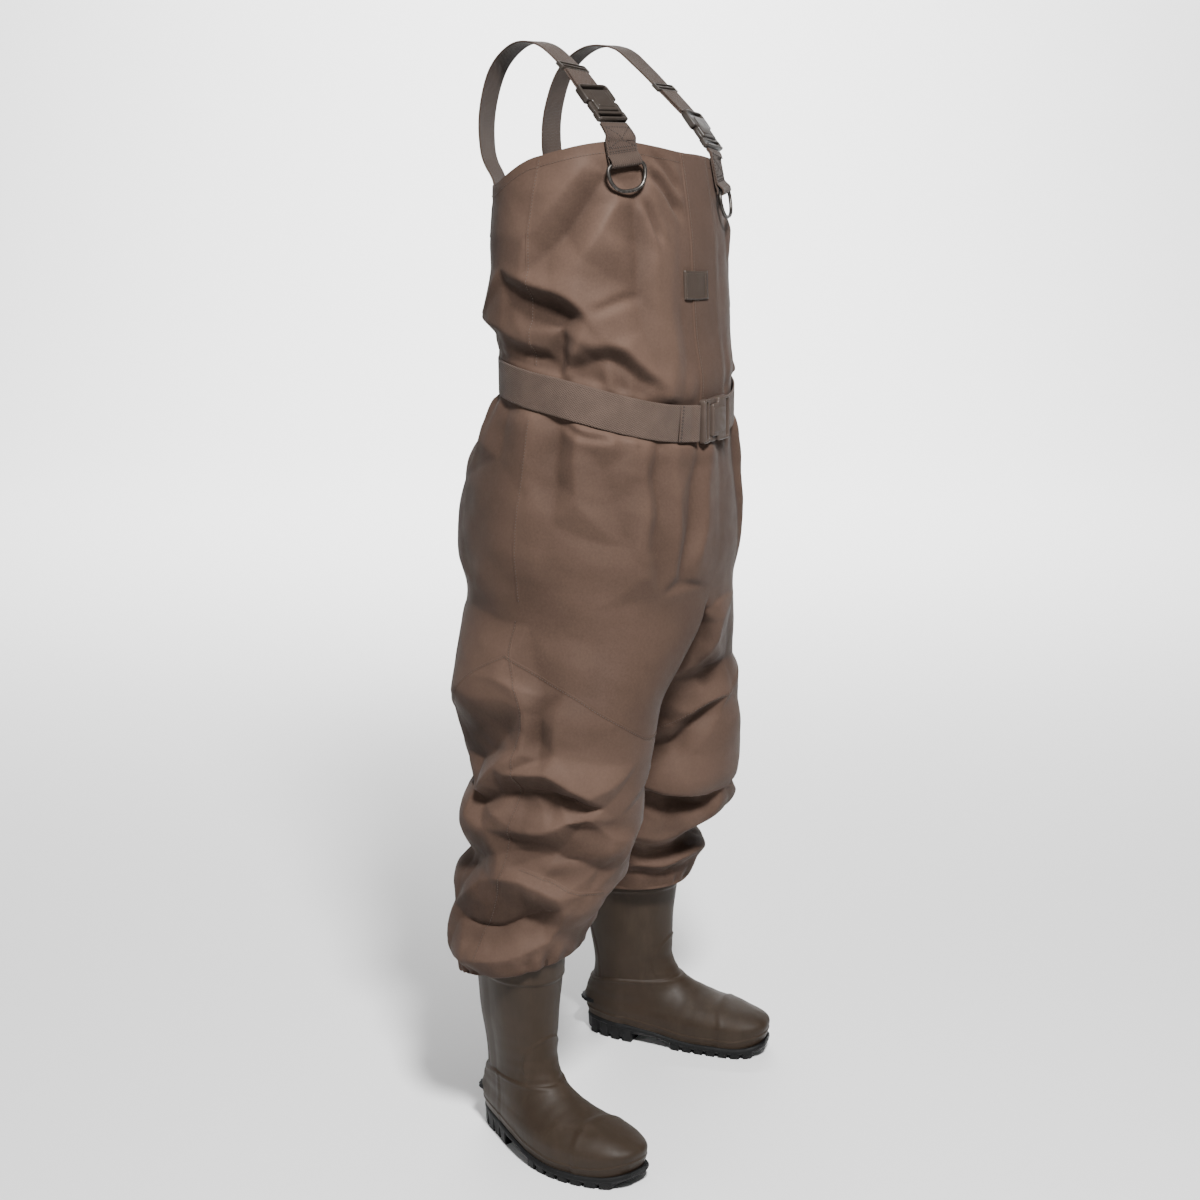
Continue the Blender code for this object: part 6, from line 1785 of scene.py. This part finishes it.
bootLook = {
    "columns": 192, "rows": 210, "rowsBelow": (0.55, 0.110), "top": 0.306, "wall": 0.003, "waveSize": 0.07,
    "wave": 0.0005, "edgeWidth": 0.0022, "shellTop": 0.106, "shellStep": 0.0016, "shellBead": 0.0007,
    "heelDip": (0.010, 105, 50), "counterEdge": 0.067, "counterStep": 0.0015, "counterBead": 0.0009,
    "capEdge": 0.222, "capBow": (0.012, 0.055), "capStep": 0.0011, "capBead": 0.0012,
    "foxing": 0.013, "foxingToe": (0.004, 0.24, 0.05), "foxingStep": 0.0010, "foxingBead": 0.0004,
    "bandLow": 0.258, "bandThick": 0.0016, "bandBead": 0.0007,
    "shinReach": 56, "shinFoot": 0.110, "shinRise": 0.064, "shinStep": 0.0012, "shinBead": 0.0006,
    "tendonTurn": (40, 14), "tendonSpan": (0.12, 0.12), "tendonTop": 0.246, "tendonStep": 0.0010, "tendonBead": 0.0005,
}


def step(value, width):
    return ease(value / width + 0.5)


def ridgeLine(distance, width):
    return np.exp(-((distance / width) ** 2))


def bootRelief(turn, level, u, w, z):
    look = bootLook
    width = look["edgeWidth"]
    away = np.abs((np.degrees(turn) + 180) % 360 - 180)  # from the toe
    # the foot's shell, whose edge runs round the ankle and dips at the heel
    dip, dipStart, dipSpan = look["heelDip"]
    fromEdge = level - (look["shellTop"] - dip * ease((away - dipStart) / dipSpan))
    inShell = 1 - step(fromEdge, width)
    relief = look["shellStep"] * inShell + look["shellBead"] * ridgeLine(fromEdge + 0.0035, width)
    # the counter at the heel, with a raised line along its front edge
    fromCounter = u - look["counterEdge"]
    relief += look["counterStep"] * inShell * (1 - step(fromCounter, 0.0016))
    relief += look["counterBead"] * inShell * ridgeLine(fromCounter - 0.001, 0.0014)
    # the toe cap
    bow, halfFoot = look["capBow"]
    fromCap = u - (look["capEdge"] + bow * (w / halfFoot) ** 2)
    relief += inShell * (look["capStep"] * step(fromCap, 0.006) + look["capBead"] * ridgeLine(fromCap, 0.0035))
    # the foxing strip over the sole
    toeRise, toeStart, toeSpan = look["foxingToe"]
    fromStrip = z - (smoothColumn(soleLine, 1, u) + look["foxing"] + toeRise * ease((u - toeStart) / toeSpan))
    relief += look["foxingStep"] * (1 - step(fromStrip, 0.0018))
    relief += look["foxingBead"] * ridgeLine(fromStrip + 0.002, 0.0014)
    # the top band and its bead
    fromBand = level - look["bandLow"]
    relief += look["bandThick"] * step(fromBand, 0.0018) + look["bandBead"] * ridgeLine(fromBand - 0.003, 0.0018)
    # the arch on the shin and the panel over the heel's tendon, as raised lines
    reach = np.clip(1 - (away / look["shinReach"]) ** 2, 0, 1)
    fromCrown = level - (look["shinFoot"] + look["shinRise"] * np.sqrt(reach))
    onShin = np.where(away < look["shinReach"], 1.0, 0.0)
    relief += look["shinStep"] * onShin * (1 - step(fromCrown, width)) * step(fromEdge - 0.006, 0.003)
    relief += look["shinBead"] * onShin * ridgeLine(fromCrown + 0.002, 0.002)
    widest, narrowing = look["tendonTurn"]
    start, span = look["tendonSpan"]
    fromTendon = 180 - away - (widest - narrowing * ease((level - start) / span))
    onBack = step(fromEdge - 0.004, 0.004) * (1 - step(level - look["tendonTop"], 0.006))
    relief += look["tendonStep"] * onBack * (1 - step(fromTendon, 3.0))
    return relief + look["tendonBead"] * onBack * ridgeLine(fromTendon + 2, 2.5)


bootFolds = {
    # over the toes: place along the foot, height, half width, depth
    "toes": [
        (0.168, 0.080, 0.009, 0.0022),
        (0.186, 0.072, 0.008, 0.0020),
        (0.205, 0.066, 0.008, 0.0014),
        (0.150, 0.100, 0.009, 0.0016),
    ],
    "toesSlant": 0.066, "toesReach": 0.020, "toesGain": 0.35,
    # round the ankle: height, depth
    "ankle": [(0.118, 0.0016), (0.136, 0.0013), (0.160, 0.0010)],
    "ankleSlant": (0.05, 0.08), "ankleWidth": 0.007, "ankleMiddle": (0.12, 0.035), "ankleGain": 0.6,
}


def bootCreases(u, w, level, side):
    look = bootFolds
    toes, ankle = 0.0, 0.0
    for place, height, width, depth in look["toes"]:
        slant = u - place - look["toesSlant"] * w * side
        toes = toes - depth * ridgeLine(slant, width) * ridgeLine(level - height, look["toesReach"])
    slope, slopeFrom = look["ankleSlant"]
    middle, reach = look["ankleMiddle"]
    for height, depth in look["ankle"]:
        line = level - height - slope * (u - slopeFrom)
        ankle = ankle - depth * ridgeLine(line, look["ankleWidth"]) * ridgeLine(u - middle, reach)
    return look["toesGain"] * toes + look["ankleGain"] * ankle


def buildBoot(side):
    name = sideNames[side]
    look = bootLook
    rows, columns = look["rows"], look["columns"]
    belowShare, belowLevel = look["rowsBelow"]
    levels = np.interp(np.linspace(0, 1, rows), [0, belowShare, 1], [lastBase, belowLevel, look["top"]])
    turn = np.broadcast_to(np.arange(columns) * 2 * pi / columns, (rows, columns))
    level = np.broadcast_to(levels[:, None], (rows, columns))
    u, w, z = bootFoot(turn, level)
    places = footToWorld(side, u, w, z).reshape(-1, 3)
    faces = gridFaces(rows, columns)
    faces = faces[:, ::-1] if side == left else faces
    normals = vertexNormals(places, faces)
    relief = bootRelief(turn, level, u, w, z) + bootCreases(u, w, level, side)
    soft = waveNoise(places, 31 + side, look["waveSize"]) * look["wave"]
    outer = places + normals * (relief.ravel() + soft)[:, None]
    inner = places - normals * look["wall"]
    m = len(outer)
    # the rims at the top and at the foot join the outer wall to the inner one
    top, foot = (rows - 1) * columns + np.arange(columns), np.arange(columns)
    rims = []
    for a, b in ((top, np.roll(top, -1)), (np.roll(foot, -1), foot)):
        rims.append(np.stack([a, b, b + m, a + m], axis=-1))
    rims = np.concatenate(rims)
    faces = np.concatenate([faces, faces[:, ::-1] + m, rims[:, ::-1] if side == left else rims])
    points = np.concatenate([outer, inner])
    made = makePiece(f"rubber_boot_{name}", points, faces, bootRubber)
    parts = ("boot_upper", "toe_cap", "heel_counter", "shin_panel", "top_band")
    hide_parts(*(f"{part}_{name}" for part in parts))


spurLook = {
    "columns": 40, "rows": 9, "low": 0.0445, "high": 0.0560, "reach": 0.0075, "halfTurn": 34, "seat": 0.0012,
    "rib": 0.0008, "ribPitch": 1.35, "blunt": 0.6, "endColumns": 5, "endReach": 0.25,
}


def buildSpur(side):
    name = sideNames[side]
    look = spurLook
    columns, least = look["columns"], look["endReach"]
    turns = pi + np.radians(np.linspace(-look["halfTurn"], look["halfTurn"], columns))
    k = np.arange(columns)
    fade = ease(k / look["endColumns"]) * ease((columns - 1 - k) / look["endColumns"])
    ribs = look["rib"] * np.cos(k * look["ribPitch"])
    grid = []
    for a in np.linspace(0, pi, look["rows"]):
        out = sin(a) ** look["blunt"]
        level = look["low"] + (look["high"] - look["low"]) * (0.5 - 0.5 * cos(a))
        lift = look["seat"] + (look["reach"] * out + ribs * out) * (least + (1 - least) * fade)
        grid.append(np.stack([bootPoint(side, t, level, o) for t, o in zip(turns, lift)]))
    faces = gridFaces(look["rows"], columns, closed=False)
    faces = faces if side == right else faces[:, ::-1]
    made = makePiece(f"heel_spur_{name}", np.array(grid), faces, soleRubber)
    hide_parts(f"kick_spur_{name}")


soleLook = {
    "depth": 0.005, "arch": 0.014, "archSpan": (0.085, 0.152), "chevron": 0.006, "chevronSpan": (0.115, 0.03),
    "taper": 0.0022, "notch": 0.0022, "rib": 0.0014,
    "heelLugs": [(0.012, 0.024), (0.030, 0.044), (0.050, 0.064), (0.070, 0.085)],
    "foreStart": 0.152, "forePitch": 0.0195, "foreLug": 0.0135, "foreCount": 7, "leastHalf": 0.008,
    "span": (0.0045, 0.2996), "station": 0.0016, "edgeClear": 0.0011, "edgeHalf": 0.0006, "sharp": radians(38),
}


def soleHalf(u):
    back, front, heelHalf, ballHalf, square = soleOutline
    middle, reach = (back + front) / 2, (front - back) / 2
    q = np.clip(np.abs((u - middle) / reach), 0, 1)
    broad = heelHalf + (ballHalf - heelHalf) * ease((u - back) / (front - back) / lastBlend["ballShare"])
    return np.maximum(broad * (1 - q**square) ** (1 / square), soleLook["leastHalf"])


def soleStations(lugs):
    look = soleLook
    edges = sorted([e for lug in lugs for e in lug] + list(look["archSpan"]))
    plain = [u for u in np.arange(*look["span"], look["station"]) if min(abs(u - e) for e in edges) > look["edgeClear"]]
    return sorted(plain + [e + away for e in edges for away in (-look["edgeHalf"], look["edgeHalf"])])


def soleSection(u, lugs):
    look = soleLook
    rib, archStart, archEnd = look["rib"], *look["archSpan"]
    half = float(soleHalf(u))
    top, base = (float(smoothColumn(soleLine, column, u)) for column in (1, 2))
    onLug = any(a <= u <= b for a, b in lugs)
    groove = base + (look["arch"] if archStart < u < archEnd else look["depth"])
    tread = base if onLug else groove
    side = half - (0.0 if onLug else look["notch"])
    profile = [(half - 0.0012, top), (half, top - 0.0012), (half + rib, top - 0.0032), (half + rib, top - 0.0058)]
    profile += [(half + 0.0002, top - 0.0070), (side, max(groove + 0.0018, tread + 0.001))]
    profile += [(side - 0.0010, tread + 0.0009), (side - look["taper"], tread)]
    profile += [(half * 0.55, tread), (half * 0.12, tread), (half * 0.08, max(tread, groove))]
    profile = [(wide, min(z, top)) for wide, z in profile]
    across = profile + [(-wide, z) for wide, z in profile[::-1]]
    # under the sole the bars run in a chevron
    start, span = look["chevronSpan"]
    vee = look["chevron"] * float(1 - ease((abs(u - bootLength / 2) - start) / span))
    middle, sideRows = float(footMiddle(u)), 5
    points = []
    for k, (wide, z) in enumerate(across):
        under = sideRows <= k < len(across) - sideRows
        points.append((u + (vee * (1 - abs(wide) / half) if under else 0.0), wide + middle, z))
    return (np.array(c) for c in zip(*points))


def buildSole(side):
    name = sideNames[side]
    look = soleLook
    starts = [look["foreStart"] + look["forePitch"] * i for i in range(look["foreCount"])]
    lugs = look["heelLugs"] + [(start, start + look["foreLug"]) for start in starts]
    grid = np.array([footToWorld(side, *soleSection(u, lugs)) for u in soleStations(lugs)])
    made = makePiece(f"lugged_sole_{name}", grid, tubeFaces(*grid.shape[:2]), soleRubber)
    outwardAll(made)
    made.data.set_sharp_from_angle(angle=look["sharp"])
    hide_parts(f"outsole_{name}")


for side in (right, left):
    buildBoot(side)
    buildSpur(side)
    buildSole(side)
    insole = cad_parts[f"insole_{sideNames[side]}"]
    insole.data.materials.clear()
    insole.data.materials.append(insoleFelt)
print("boots made")


# Floor, lights and camera

stageLook = {"front": -9.0, "flat": 5.5, "round": 2.2, "high": 5.0, "half": 11.0, "pale": (0.82, 0.82, 0.82)}
photoTurn = radians(-59.7)
awayWay = Vector((-sin(photoTurn), cos(photoTurn), 0))  # from the camera to the object, along the floor


def buildFloor():
    look = stageLook
    made = newMaterial("paleFloor", look["pale"], 0.75, specular=0.15)[0]
    profile = [(x, 0.0) for x in np.linspace(look["front"], look["flat"], 12)]
    for angle in np.linspace(0, pi / 2, 13)[1:]:
        profile.append((look["flat"] + look["round"] * sin(angle), look["round"] * (1 - cos(angle))))
    profile.append((look["flat"] + look["round"], look["high"]))
    sideWay = Vector((-awayWay.y, awayWay.x, 0))
    points = []
    for along, z in profile:
        for half in (-look["half"], look["half"]):
            points.append(awayWay * along + sideWay * half + Vector((0, 0, z)))
    faces = [(2 * k, 2 * k + 2, 2 * k + 3, 2 * k + 1) for k in range(len(profile) - 1)]
    mesh = bpy.data.meshes.new("floor")
    mesh.from_pydata([tuple(p) for p in points], [], faces)
    mesh.materials.append(made)
    mesh.shade_smooth()
    floor = linked("floor", mesh)


def softLight(name, place, target, size, power):
    lamp = bpy.data.lights.new(name, "AREA")
    lamp.shape = "DISK"
    lamp.size = size
    lamp.energy = power
    made = linked(name, lamp)
    made.location = place
    made.rotation_euler = (Vector(target) - Vector(place)).to_track_quat("-Z", "Y").to_euler()


cameraLook = {"away": 2.84, "height": 1.443, "pitch": 13.55, "aside": -0.0145, "lens": 60.93, "sensor": 36.0}


def buildCamera():
    p = radians(cameraLook["pitch"])
    back = -awayWay
    rightWay = Vector((cos(photoTurn), sin(photoTurn), 0))
    place = back * cameraLook["away"] + Vector((0, 0, cameraLook["height"])) + rightWay * cameraLook["aside"]
    forward = -back * cos(p) - Vector((0, 0, 1)) * sin(p)
    up = rightWay.cross(forward)
    lens = bpy.data.cameras.new("photoCamera")
    lens.lens = cameraLook["lens"]
    lens.sensor_width = cameraLook["sensor"]
    lens.sensor_fit = "HORIZONTAL"
    camera = linked("photoCamera", lens)
    turned = Matrix((rightWay, up, -forward)).transposed().to_4x4()
    turned.translation = place + Vector(frameShift)
    camera.matrix_world = turned
    bpy.context.scene.camera = camera


buildFloor()
# name, place, what it points at, size and power
lights = [
    ("keyLight", (-1.40, -1.32, 2.80), (0, 0, 1.02), 0.5, 234),
    ("fillLight", (-3.0, 1.0, 1.6), (0, 0, 0.8), 1.4, 14),
    ("topLight", (0.6, 0.5, 3.8), (0, 0, 0.6), 1.6, 22),
    ("sweepLight", awayWay * 4.0 + Vector((0, 0, 4.6)), awayWay * 8.0 + Vector((0, 0, 0.6)), 4.0, 1150),
]
for light in lights:
    softLight(*light)
worldStrength = 0.16
world = bpy.data.worlds.new("studio")
world.use_nodes = True
sky = world.node_tree.nodes["Background"]
sky.inputs["Color"].default_value = (1.0, 1.0, 1.0, 1.0)
sky.inputs["Strength"].default_value = worldStrength
bpy.context.scene.world = world
buildCamera()
print("stage set")
